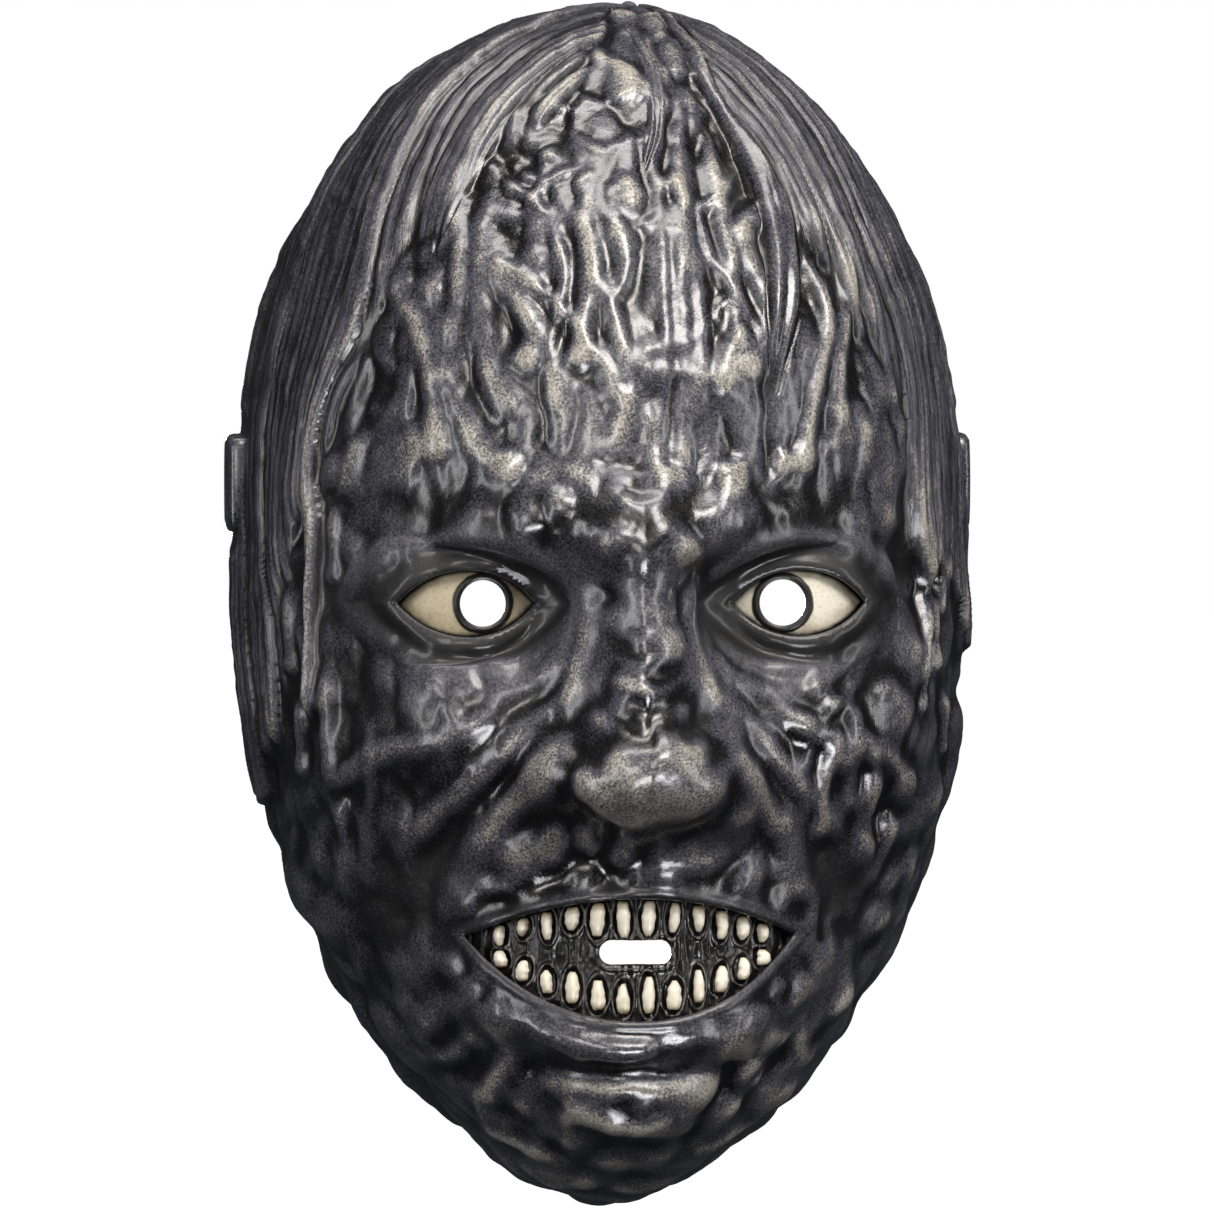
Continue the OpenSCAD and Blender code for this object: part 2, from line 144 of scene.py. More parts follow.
# Height that the melted relief levels off at
MELT_LIMIT = 6.0

HAIRLINE_Z = -22.0
HAIRLINE_HALF_WIDTH = 70.0
HAIRLINE_HALF_HEIGHT = 132.0
HAIR_RISE = 1.7
PARTING_X = 9.0
HAIR_ARC = 46.0
LOCK_WIDTH = 7.2

# Eyes
EYE_X = 34.0
EYE_DEPTH = 55.5
CUP_RADIUS = 22.0
CUP_WALL = 1.8
CUP_LIMIT = 19.5
PUPIL_X = 32.5
PUPIL_RADIUS = 5.0
LID_RADIUS = CUP_RADIUS + 0.8 + WALL
EYE_OPENING_X = 36.0
EYE_ARC = 18.75
EYE_ARC_SHIFT = 11.25

# Mouth, gums and teeth
MOUTH_UPPER_ARC = 76.5
MOUTH_UPPER_Z = -139.5
MOUTH_LOWER_ARC = 45.0
MOUTH_LOWER_Z = -45.0
MOUTH_Z = -75.0
MOUTH_LAND = 4.4
GUM_RADIUS = 46.0
GUM_AXIS_Y = -36.0
GUM_WALL = 2.0
GUM_MARGIN = 5.0
GUM_HALF_WIDTH = 37.5
SLOT_HALF_STRAIGHT = 5.3
SLOT_RADIUS = 2.7
TEETH_PER_ROW = 12
TOOTH_PITCH = 2 * math.asin(30 / GUM_RADIUS) / TEETH_PER_ROW

# How much wider an opening is on the inside of the skin, and the inset and depth of each ring
# that lines it
BACK_OPENING_GROWTH = 0.9
OPENING_LINING = ((0.22, 0.25), (0.34, 0.7), (0.30, 1.4), (0.0, 2.0))

# Openings of the skin: centre, half size, place across of both arcs, radius and height of each arc
EYE_ARCS = ((EYE_ARC, -EYE_ARC_SHIFT), (EYE_ARC, EYE_ARC_SHIFT))
MOUTH_ARCS = ((MOUTH_UPPER_ARC, MOUTH_UPPER_Z), (MOUTH_LOWER_ARC, MOUTH_LOWER_Z))
OPENINGS = [
    ((-EYE_OPENING_X, 0.0), (15.0, 7.5), -EYE_OPENING_X, EYE_ARCS),
    ((EYE_OPENING_X, 0.0), (15.0, 7.5), EYE_OPENING_X, EYE_ARCS),
    ((0.0, MOUTH_Z), (36.0, 13.5), 0.0, MOUTH_ARCS),
]

# Strap, its lugs and its stitches
RIVET_Y = -9.0
RIVET_Z = 25.0
LUG_Y = -8.7
LUG_HALF_Y = 8.3
LUG_HALF_Z = 11.0
LUG_CORNER = 4.0
LUG_THICK = 5.9
BOSS_THICK = 3.5
STRAP_WIDTH = 20.0
STRAP_THICK = 1.2
STRAP_TURN = 35.0
STRAP_WRAP = 1.8
TAIL_END = 44.0
STITCH_BOX_Y = (27.0, 42.0)
STITCH_BOX_HALF_Z = 7.0
STITCH_PITCH = 2.2
STITCH_RADIUS = 0.24

PAD_THICK = 6.0
PAD_GAP = 0.35

# Camera, with its turns in degrees and its distance in metres, and the floor
CAMERA_AZIMUTH = -6.5
CAMERA_ELEVATION = 1.5
CAMERA_DISTANCE = 2.4
CAMERA_MARGIN = 1.012
SENSOR_WIDTH = 36.0
FLOOR_Z = -330.0
FLOOR_RINGS = (1, 1500, 12000)


# ---------------------------------------------------------------- shaping tools
def smooth_step(low, high, value):
    """0 at low, 1 at high, with a soft start and end."""
    u = np.clip((value - low) / (high - low), 0, 1)
    return u * u * (3 - 2 * u)


def smooth_max(a, b, blend):
    """The larger of two values, rounded where they meet."""
    return (a + b + np.sqrt((a - b) ** 2 + blend * blend)) / 2


def bump(feature, x, z):
    """A rounded rise over the view from the front."""
    across, up, half_width, half_height, rise = feature
    return rise * np.exp(-(((x - across) / half_width) ** 2 + ((z - up) / half_height) ** 2) / 2)


def unit(v):
    """Vectors brought to length 1."""
    return v / np.maximum(np.linalg.norm(v, axis=-1, keepdims=True), 1e-9)


def lattice(i, j, k, seed):
    """A repeatable number from -1 to 1 for each whole-number place."""
    h = i.astype(np.int64).astype(np.uint32) * np.uint32(374761393)
    h = h + j.astype(np.int64).astype(np.uint32) * np.uint32(668265263)
    h = h + k.astype(np.int64).astype(np.uint32) * np.uint32(2246822519)
    h = h + np.uint32((seed * 3266489917) & 0xFFFFFFFF)
    h = (h ^ (h >> np.uint32(13))) * np.uint32(1274126177)
    h = (h ^ (h >> np.uint32(15))) * np.uint32(2246822519)
    h = h ^ (h >> np.uint32(16))
    return h.astype(np.float64) / 2147483647.5 - 1


def noise(p, seed):
    """Smooth noise from -1 to 1 at points whose last axis holds two or three coordinates."""
    cell = np.floor(p)
    f = p - cell
    f = f * f * f * (f * (f * 6 - 15) + 10)

    def layer(depth):
        corner = [
            lattice(cell[..., 0] + i, cell[..., 1] + j, depth, seed) for i in (0, 1) for j in (0, 1)
        ]
        low = corner[0] + (corner[2] - corner[0]) * f[..., 0]
        high = corner[1] + (corner[3] - corner[1]) * f[..., 0]
        return low + (high - low) * f[..., 1]

    if p.shape[-1] == 2:
        return layer(np.zeros_like(cell[..., 0]))
    return (1 - f[..., 2]) * layer(cell[..., 2]) + f[..., 2] * layer(cell[..., 2] + 1)


def layered_noise(p, octaves, seed):
    """Noise with finer and weaker layers of itself added."""
    return sum(noise(p * 2.03**k + 7.3 * k, seed + k) * 0.5**k for k in range(octaves))


def stack(*values):
    """Coordinates, or plain numbers among them, joined along a new last axis."""
    return np.stack(np.broadcast_arrays(*values), axis=-1)


def square_grid(steps):
    """Two coordinates from -1 to 1 over a square grid."""
    line = np.linspace(-1, 1, steps + 1)
    return np.meshgrid(line, line, indexing="ij")


def cells(a, b, seed):
    """Distances to the nearest two of one scattered point per unit square."""
    near = np.full(a.shape, 9.0)
    second = np.full(a.shape, 9.0)
    ia, ib = np.floor(a), np.floor(b)
    zero = np.zeros_like(ia)
    for da in (-1, 0, 1):
        for db in (-1, 0, 1):
            ja, jb = ia + da, ib + db
            pa = ja + 0.5 + 0.42 * lattice(ja, jb, zero, seed)
            pb = jb + 0.5 + 0.42 * lattice(ja, jb, zero, seed + 50)
            d = np.hypot(a - pa, b - pb)
            second = np.minimum(second, np.maximum(near, d))
            near = np.minimum(near, d)
    return near, second


def lumps_3d(point, seed):
    """Rounded lumps round one scattered point per unit cube, worked out on every other grid
    point."""
    p = point[::2, ::2]
    near = np.full(p.shape[:-1], 9.0)
    second = np.full(p.shape[:-1], 9.0)
    base = np.floor(p)
    for step in np.ndindex(3, 3, 3):
        i, j, k = (base[..., axis] + step[axis] - 1 for axis in range(3))
        place = [c + 0.5 + 0.4 * lattice(i, j, k, seed + m) for c, m in ((i, 0), (j, 50), (k, 90))]
        d = np.sqrt(sum((p[..., axis] - place[axis]) ** 2 for axis in range(3)))
        second = np.minimum(second, np.maximum(near, d))
        near = np.minimum(near, d)
    coarse = 1 - near**2 + 0.3 * smooth_step(0, 0.45, second - near)
    full = np.zeros(point.shape[:-1])
    full[::2, ::2] = coarse
    full[1::2, ::2] = (coarse[1:] + coarse[:-1]) / 2
    full[:, 1::2] = (full[:, 0:-1:2] + full[:, 2::2]) / 2
    return full


def curve_through(points, count):
    """Evenly numbered points on a smooth curve through a few given ones."""
    p = np.array(points, float)
    p = np.vstack([2 * p[0] - p[1], p, 2 * p[-1] - p[-2]])
    out = []
    for t in np.linspace(0, len(p) - 3 - 1e-9, count):
        f = t - int(t)
        a, b, c, d = p[int(t) : int(t) + 4]
        square = (2 * a - 5 * b + 4 * c - d) * f**2
        out.append(0.5 * (2 * b + (c - a) * f + square + (3 * b - a - 3 * c + d) * f**3))
    return np.array(out)


def blur(field, sigma):
    """Gaussian blur over grid steps along both axes."""
    reach = max(1, int(3 * sigma))
    kernel = np.exp(-0.5 * (np.arange(-reach, reach + 1) / sigma) ** 2)
    kernel /= kernel.sum()
    for axis in (0, 1):
        margin = [(reach, reach) if k == axis else (0, 0) for k in (0, 1)]
        padded = np.pad(field, margin, mode="edge")
        length = field.shape[axis]
        field = sum(
            w * np.take(padded, range(k, k + length), axis=axis) for k, w in enumerate(kernel)
        )
    return field


def soften(field, mm):
    """Blurs a field over the skin's grid by a width in mm."""
    return blur(field, mm / GRID_MM)


def ridge(relief, skin, points, width, height, sink=False, drop=0.0):
    """Raises a rounded ridge, or sinks a groove, along a smooth curve over the unrolled skin.
    It tapers at both ends; drop swells its last part into a bead."""
    path = curve_through(points, 22)
    reach = width * (1.2 + drop)
    a, b = skin.a, skin.b
    inside = (a > path[:, 0].min() - reach) & (a < path[:, 0].max() + reach)
    inside &= (b > path[:, 1].min() - reach) & (b < path[:, 1].max() + reach)
    if not inside.any():
        return
    pa, pb = a[inside], b[inside]
    best = np.full(pa.shape, 1e9)
    where = np.zeros(pa.shape)
    for i in range(len(path) - 1):
        s = path[i]
        along = path[i + 1] - s
        t = np.clip(((pa - s[0]) * along[0] + (pb - s[1]) * along[1]) / (along @ along), 0, 1)
        d = np.hypot(pa - s[0] - t * along[0], pb - s[1] - t * along[1])
        closer = d < best
        best = np.where(closer, d, best)
        where = np.where(closer, (i + t) / (len(path) - 1), where)
    ends = smooth_step(-0.02, 0.22, where) * smooth_step(1.02, 0.8 + 0.15 * (drop > 0), where)
    taper = np.clip(ends, 0, 1)
    bead = drop * np.exp(-(((where - 0.93) / 0.09) ** 2))
    size = width * (0.35 + 0.65 * taper) * (1 + bead)
    profile = np.clip(1 - (best / size) ** 2, 0, 1) ** 1.6
    profile = profile * (0.25 + 0.75 * taper) * (1 + 0.6 * bead)
    if sink:
        relief[inside] -= height * profile
    else:
        old = relief[inside]
        covered = old * (1 - 0.55 * np.minimum(1, 3 * profile))
        relief[inside] = smooth_max(old, covered + height * profile, 0.25) - 0.125


# ---------------------------------------------------------------- the dome of the face
def ball_points(u, v):
    """Points of the half ball that the face is stretched from, for a square grid."""
    s = (1 - GRID_BEND) * u + GRID_BEND * np.sin(np.pi / 2 * u)
    t = (1 - GRID_BEND) * v + GRID_BEND * np.sin(np.pi / 2 * v)
    p = s * np.sqrt(1 - t * t / 2)
    q = t * np.sqrt(1 - s * s / 2)
    r2 = np.minimum(1, p * p + q * q)
    k = np.sqrt(2 - r2)
    return stack(p * k, r2 - 1, q * k)


def front_place(ball):
    """Place of each point in the view from the front."""
    rest = np.maximum(1e-6, 1 - ball[..., 2] ** 2)
    crown = np.sqrt((1 - np.abs(ball[..., 2]) ** CROWN_POWER) / rest)
    fullness = np.where(ball[..., 2] > 0, crown, rest**CHIN_POWER)
    x = HALF_WIDTH * fullness * ball[..., 0]
    z = np.where(ball[..., 2] > 0, CROWN, CHIN) * ball[..., 2]
    return x, z


def lens_gap(x, z, upper, upper_z, lower, lower_z):
    """Distance outside a lens between two arcs, negative inside it."""
    return np.maximum(np.hypot(x, z - upper_z) - upper, np.hypot(x, z - lower_z) - lower)


def eye_gap(x, z, side):
    """Distance outside one eye opening, negative inside it."""
    return lens_gap(x - side * EYE_OPENING_X, z, EYE_ARC, -EYE_ARC_SHIFT, EYE_ARC, EYE_ARC_SHIFT)


def mouth_gap(x, z):
    """Distance outside the mouth opening, negative inside it."""
    return lens_gap(x, z, MOUTH_UPPER_ARC, MOUTH_UPPER_Z, MOUTH_LOWER_ARC, MOUTH_LOWER_Z)


def lens_measure(base_x, arcs):
    """Measures the distance outside a lens and the flat direction away from it."""
    (r1, z1), (r2, z2) = arcs

    def measure(points):
        x, z = points[:, 0] - base_x, points[:, 2]
        d1, d2 = np.hypot(x, z - z1), np.hypot(x, z - z2)
        first = (d1 - r1) > (d2 - r2)
        gap = np.where(first, d1 - r1, d2 - r2)
        return gap, unit(stack(x, 0.0, np.where(first, z - z1, z - z2)))

    return measure


def nearest_eye_gap(skin):
    """Distance outside the nearer eye opening."""
    return np.minimum(eye_gap(skin.x, skin.z, -1), eye_gap(skin.x, skin.z, 1))


def front_depth(x, z, c):
    """How far each point of the bare skin stands in front of the rim's plane."""
    relief = sum(bump(f, x, z) for f in MIDDLE_FEATURES.values())
    relief = relief + sum(bump(f, np.abs(x), z) for f in PAIRED_FEATURES.values())
    skin = DOME_DEPTH * np.maximum(c, 0) ** DOME_POWER + relief * smooth_step(0, RIM_BLEND, c)
    from_eye = np.hypot(np.abs(x) - EYE_X, z)
    ball = np.sqrt(np.maximum(0, LID_RADIUS**2 - from_eye**2))
    lid = EYE_DEPTH + np.where(from_eye < LID_RADIUS, ball, -3 * (from_eye - LID_RADIUS))
    lids = smooth_max(skin, lid, 2)
    gum = -GUM_AXIS_Y + np.sqrt(np.maximum(1, GUM_RADIUS**2 - x**2)) + MOUTH_LAND
    weight = 1 - smooth_step(GUM_MARGIN, GUM_MARGIN + 9, mouth_gap(x, z))
    land = smooth_max(lids, gum, 2)
    return np.where(c < 1e-6, 0, lids * (1 - weight) + land * weight)


def skin_points(u, v):
    """The bare skin at places of the square grid, with its ball points and view from the front."""
    ball = ball_points(u, v)
    x, z = front_place(ball)
    return stack(x, -front_depth(x, z, -ball[..., 1]), z), ball


class Skin:
    """The bare skin over a square grid, with what the relief needs to know at each point."""

    def __init__(self, u, v):
        self.front, self.ball = skin_points(u, v)
        self.x, self.z = self.front[..., 0], self.front[..., 2]
        self.c = -self.ball[..., 1]
        across = np.gradient(self.front, axis=0)
        up = np.gradient(self.front, axis=1)
        weight = smooth_step(0.02, RIM_BLEND, self.c)[..., None]
        self.normal = unit(self.ball * (1 - weight) + unit(np.cross(across, up)) * weight)
        self.turn = np.arccos(np.clip(self.c, 0, 1))
        sine = np.maximum(np.sin(self.turn), 1e-6)
        stretch = np.where(self.turn < 1e-4, 1, self.turn / sine)
        self.a = self.x * stretch
        self.b = self.z * stretch


def hair_field(skin):
    """Cover, relief and strand coordinates of the hair, combed from the crown down both sides."""
    x, z = skin.x, skin.z
    side = np.where(x < PARTING_X, -1.0, 1.0)
    away = side * (x - PARTING_X)
    reach = np.hypot(x / HAIRLINE_HALF_WIDTH, (z - HAIRLINE_Z) / HAIRLINE_HALF_HEIGHT)
    sine = np.hypot(skin.ball[..., 0], skin.ball[..., 2])
    edge = np.arcsin(np.clip(sine / np.maximum(reach, 1e-3), 0, 1))
    from_rim = DOME_DEPTH * (np.pi / 2 - skin.turn)
    share = 1 - from_rim / np.maximum(DOME_DEPTH * (np.pi / 2 - edge), 14)
    scalp = 46 * np.exp(-((away / 11) ** 2))
    low_end = np.where(side < 0, smooth_step(-20, -74, z), smooth_step(14, -34, z))
    past = DOME_DEPTH * (skin.turn - edge) - scalp - 64 * low_end
    down = np.arctan2(away + 3, z - HAIRLINE_Z)
    along = down * 92
    sway = layered_noise(stack(along / 46, share * 1.3, side * 3), 2, 11)
    across = HAIR_ARC * (share + 1.15 * (1 - np.exp(-down / 0.7))) + 5.5 * sway + side * 37

    # Locks, the strands of each and the fine hairs on those
    place = across / LOCK_WIDTH
    place = place + 0.28 * np.sin(place * 2.1 + side)
    lock = np.floor(place)
    from_middle = np.abs(2 * (place - lock) - 1)
    pick = lattice(lock, lock * 0, side, 5)
    shape = (1 - from_middle**3.2) * (1.0 + 0.5 * pick) + 0.45 * pick
    small = across / 2.5 + 0.5 * noise(stack(along / 26, across / 5), 17)
    from_strand = np.abs(2 * (small - np.floor(small)) - 1)
    strands = (0.42 + 0.2 * noise(stack(along / 20, across / 4), 19)) * (1 - from_strand**1.6)
    fine = 0.35 * np.abs(noise(stack(across / 1.1, along / 24), 23))

    # Distance past the hairline, which each lock reaches on its own
    line = past + 2.5 + 9 * pick - 1.5 * noise(stack(along / 9, across / 9), 31)
    line = line - 2.6 * from_middle**1.5
    cover = smooth_step(-0.3, 0.9, line)
    relief = HAIR_RISE + 0.85 * shape + strands - fine
    relief = relief * (0.5 + 0.5 * smooth_step(0, 5, line))
    return cover, relief, across, along


def melted_skin(skin, seed):
    """Scarred and melted relief of the bare skin, in mm along its normal."""
    x, z = skin.x, skin.z
    rng = np.random.default_rng(seed)
    point = skin.front
    warp_a = 5.0 * noise(point / 19, 101) + 2.0 * noise(point / 8, 102)
    warp_b = 5.0 * noise(point / 19, 103) + 2.0 * noise(point / 8, 104)
    wa, wb = skin.a + warp_a, skin.b + warp_b
    upper = smooth_step(12, 36, z)
    lower = 1 - smooth_step(-52, -30, z)
    middle = np.clip(1 - upper - lower, 0, 1)

    # Drips on the brow, and lumps of four sizes over the rest
    near, second = cells(wa / 7.4, wb / 23, 201)
    drips = 0.9 * (1 - near**2) + 0.35 * smooth_step(0, 0.4, second - near)
    relief = upper * 1.5 * (drips - 0.8)
    warp = stack(warp_a, 0.6 * warp_b, warp_b)
    swell = lumps_3d((point + warp) / np.array([16.0, 17.0, 22.0]), 211)
    relief += middle * 2.4 * (swell - 0.75)
    lump = lumps_3d((point + warp) / np.array([19.0, 18.0, 17.0]), 221)
    relief += lower * 3.4 * (lump - 0.75)
    knob = lumps_3d((point + 0.7 * warp) / np.array([10.5, 11.0, 8.5]), 223)
    front = smooth_step(14, 30, -point[..., 1])
    relief += (1 - upper) * (0.5 + 0.4 * front + 0.6 * lower * front) * (knob - 0.7)
    small = lumps_3d((point + 0.5 * warp) / 6.5, 225)
    patchy = smooth_step(0.0, 0.5, noise(point / 21, 226))
    relief += (0.35 + 0.4 * upper) * patchy * (small - 0.7)
    relief += 1.5 * layered_noise(point / 21, 2, 231)
    veins = 1 - np.abs(noise(stack(wa / 8, wb / 17), 241)) * 3.4
    relief += 0.9 * np.clip(veins, 0, 1) ** 1.3 * upper
    relief += sum(bump(f, x, z) for f in LUMPS)
    for *place, radius, rise in SIDE_LUMPS:
        d2 = ((point - np.array(place)) ** 2).sum(axis=-1) / radius**2
        relief += rise * np.clip(1 - d2, 0, 1) ** 1.2
    ball = np.clip(1 - ((skin.a - 1) / 12.5) ** 2 - ((skin.b + 39) / 11) ** 2, 0, 1)
    relief += 4.2 * ball**0.6

    brow_drips(relief, skin, rng.uniform)
    for sgn in (-1, 1):
        eye_folds(relief, skin, sgn, rng.uniform)
        cheek_folds(relief, skin, sgn, rng.uniform)
    nose_and_chin_folds(relief, skin, rng.uniform)
    blisters(relief, skin, rng.uniform)
    return relief


def brow_drips(relief, skin, draw):
    """Long drips that run down the brow, each with a bead at its end, and veins between them."""
    for start in np.arange(-58, 59, 7.4):
        start = start + draw(-2, 2)
        top = 118 - 0.009 * start**2 + draw(-26, 6)
        end = draw(22, 58)
        sway = draw(-4.5, 4.5, 3)
        pull = draw(0.75, 1.0)
        points = [
            (start + sway[0], top),
            (start * 0.97 + sway[1], top * 0.7 + end * 0.3),
            (start * 0.9 + sway[2], top * 0.3 + end * 0.7),
            (start * pull, end),
        ]
        ridge(relief, skin, points, draw(2.4, 4.6), draw(1.2, 2.4), drop=0.5)
    for _ in range(22):
        s = np.array([draw(-54, 54), draw(38, 112)])
        e = s + [draw(-19, 19), draw(-18, -2)]
        m = (s + e) / 2 + draw(-3, 3, 2)
        ridge(relief, skin, [s, m, e], draw(1.0, 2.0), draw(0.9, 1.8))
    for points, width, height in BROW_VEINS:
        ridge(relief, skin, points, width, height)
    for level, half in ((26, 11), (33, 15), (21, 7)):
        points = [(-half, level + 3), (0, level + draw(-2, 1)), (half, level + 3)]
        ridge(relief, skin, points, 2.2, 1.5)


def eye_folds(relief, skin, sgn, draw):
    """Soft bags under the eye and a heavy fold over it."""
    for k, (out, low) in enumerate([(18.0, 12.5), (22.5, 18.5), (27.0, 25.5)]):
        cx = EYE_OPENING_X - 1.5 * k
        points = [
            (sgn * (cx + out * math.cos(t)) + draw(-1, 1), low * math.sin(t) - 1.5)
            for t in np.radians([-170, -142, -114, -86, -58, -30])
        ]
        ridge(relief, skin, points, 3.4 - 0.3 * k, 2.5 - 0.4 * k)
    points = [
        (sgn * (EYE_OPENING_X + 20 * math.cos(t)), 13 * math.sin(t) + 1.0 + draw(-0.7, 0.7))
        for t in np.radians([12, 45, 80, 115, 150, 172])
    ]
    ridge(relief, skin, points, 3.4, 2.8)
    points = [(12, 8), (10, -2), (13, -14), (17, -26)]
    ridge(relief, skin, [(sgn * across, up) for across, up in points], 2.8, 2.2)


def cheek_folds(relief, skin, sgn, draw):
    """Sagging folds from the nose past the mouth and over the cheek, with drips that hang from
    them."""
    for points, width, height in CHEEK_FOLDS:
        ridge(relief, skin, [(sgn * across, up) for across, up in points], width, height)
    for _ in range(9):
        s = np.array([sgn * draw(28, 74), draw(-58, -18)])
        fall = draw(14, 34)
        e = s + [sgn * draw(-6, 4), -fall]
        m = (s + e) / 2 + [draw(-3, 3), 0]
        ridge(relief, skin, [s, m, e], draw(2.6, 5.0), draw(1.7, 3.2), drop=0.5)
    for _ in range(9):
        s = np.array([sgn * draw(72, 108), draw(-74, 30)])
        e = s + [sgn * draw(-5, 3), -draw(14, 32)]
        m = (s + e) / 2 + draw(-2, 2, 2)
        ridge(relief, skin, [s, m, e], draw(2.0, 3.8), 2.0, drop=0.5)
    for _ in range(5):
        s = np.array([sgn * draw(20, 50), draw(-118, -98)])
        e = s + [sgn * draw(4, 16), -draw(6, 24)]
        m = (s + e) / 2 + draw(-3, 3, 2)
        ridge(relief, skin, [s, m, e], draw(3, 5), 2.4, drop=0.4)


def nose_and_chin_folds(relief, skin, draw):
    """Wrinkles across the bridge of the nose, drips over the lip and folds over the chin."""
    for level in np.arange(4, -22, -5.2):
        half = 7 + 0.16 * (4 - level)
        middle = (draw(-2, 2), level - 1.5 + draw(-1, 1))
        ridge(relief, skin, [(-half, level + 2), middle, (half, level + 2)], 2.1, 1.4)
    for across in (-19, -12, -4, 5, 13, 20):
        s = np.array([across + draw(-2, 2), -47.0 + draw(-3, 2)])
        e = s + [draw(-2, 2), -draw(8, 13)]
        ridge(relief, skin, [s, (s + e) / 2, e], draw(2.4, 3.6), 1.9, drop=0.4)
    ridge(relief, skin, [(-32, -101), (-12, -106), (10, -105), (33, -100)], 4.0, 2.6)
    for _ in range(9):
        mid = np.array([draw(-34, 34), draw(-160, -112)])
        half = draw(7, 16)
        s = mid + [-half, draw(-4, 4)]
        m = mid + draw(-3, 3, 2)
        e = mid + [half, draw(-4, 4)]
        ridge(relief, skin, [s, m, e], draw(2.6, 4.6), draw(1.5, 2.8))


def blisters(relief, skin, draw):
    """Round bumps, thick on the brow, the nose and the cheeks."""
    spots = list(BLISTERS)
    for (across, up), (reach_a, reach_b), count, size in BLISTER_PATCHES:
        for _ in range(count):
            a, b = across + reach_a * draw(-1, 1), up + reach_b * draw(-1, 1)
            spots.append((a, b, size * draw(0.5, 1.15)))
    for across, up, radius in spots:
        inside = (np.abs(skin.a - across) < radius) & (np.abs(skin.b - up) < radius)
        if inside.any():
            d2 = ((skin.a[inside] - across) ** 2 + (skin.b[inside] - up) ** 2) / radius**2
            dome = np.clip(1 - d2, 0, 1) ** 1.1 * radius * 0.58
            relief[inside] += 0.8 * dome


def wet_strands(skin):
    """Wet strands of hair that hang over the brow: their relief and where they cover the skin."""
    hair = np.zeros_like(skin.a)
    for points, width, height in WET_STRANDS:
        ridge(hair, skin, points, width, height)
    cover = smooth_step(0.1, 0.7, hair)
    for points, width, _ in WET_STRANDS:
        last = len(points) - 1
        for shift in (-0.5, -0.1, 0.3):
            moved = [
                (across + shift * width * (1 - 0.8 * k / last), up)
                for k, (across, up) in enumerate(points)
            ]
            ridge(hair, skin, moved, 0.26 * width, 0.7, sink=True)
    return hair, cover


def lid_and_lip_relief(skin, fade_noise):
    """Rolled edges and creases round the eye and mouth openings."""
    x, z = skin.x, skin.z
    relief = np.zeros_like(x)
    for sgn in (-1, 1):
        gap = eye_gap(x, z, sgn)
        near = gap < 14
        roll = 0.45 * np.exp(-(((gap - 1.4) / 1.1) ** 2))
        crease = -0.9 * np.exp(-(((gap - 4.6) / 1.5) ** 2))
        fold = 0.7 * np.exp(-(((gap - 8.0) / 2.0) ** 2))
        relief += np.where(near, roll + crease + fold, 0)
    gap = mouth_gap(x, z)
    roll = 0.4 * np.exp(-(((gap - 1.0) / 0.8) ** 2))
    wave = 1.3 * fade_noise * np.exp(-(((gap - 5.5) / 3.5) ** 2))
    relief += np.where(gap < 16, roll + wave, 0)
    return relief


def calm_weight(skin):
    """Less scarring right beside the openings, so that their edges stay clean."""
    eyes = smooth_step(-1, 6.5, nearest_eye_gap(skin))
    mouth = smooth_step(-1.5, 9.0, mouth_gap(skin.x, skin.z))
    return np.minimum(0.2 + 0.8 * eyes, 0.3 + 0.7 * mouth)


def lug_weight(skin):
    """Flat land on the sides, where the strap lugs are moulded on."""
    depth = -skin.front[..., 1]
    up = smooth_step(42, 37, np.abs(skin.z - RIVET_Z) + 25)
    return smooth_step(22, 16, depth) * up * smooth_step(60, 70, np.abs(skin.x))


def hollow_depth(skin):
    """How far in mm each point of the bare skin lies behind what is round it."""
    forward = -skin.front[..., 1]
    hollow = soften(forward[::4, ::4], 3.2) - forward[::4, ::4]
    side = len(forward)
    hollow = np.repeat(np.repeat(hollow, 4, axis=0), 4, axis=1)[:side, :side]
    return soften(hollow, 1.2) * smooth_step(0.2, 0.5, skin.c)


def face_relief(skin, cover, hair, strands, strand_cover, scalp, hollow):
    """Melted skin, hair, strands, lids and lips, and the flat land under the lugs, in mm."""
    calm = calm_weight(skin)
    melt = melted_skin(skin, 7) * calm * (1 - 0.5 * smooth_step(0.6, 2.6, hollow))
    melt = MELT_LIMIT * np.tanh(melt / MELT_LIMIT)
    low_face = smooth_step(-36, -58, skin.z)
    melt = soften(melt, 0.5) * (1 - low_face) + soften(melt, 0.95) * low_face
    fine = 0.07 * layered_noise(skin.front / 2.6, 3, 81) * calm
    rough = noise(skin.front / 6, 71)
    bare = (melt + fine) * (1 - 0.75 * strand_cover) + strands + lid_and_lip_relief(skin, rough)
    relief = (bare + 2.2 * scalp) * (1 - cover) + cover * (0.3 * melt + hair)
    land = lug_weight(skin)
    relief = relief * (1 - land) + 2.0 * land
    return relief * (smooth_step(-0.004, 0.03, skin.c) * 0.35 + 0.65)


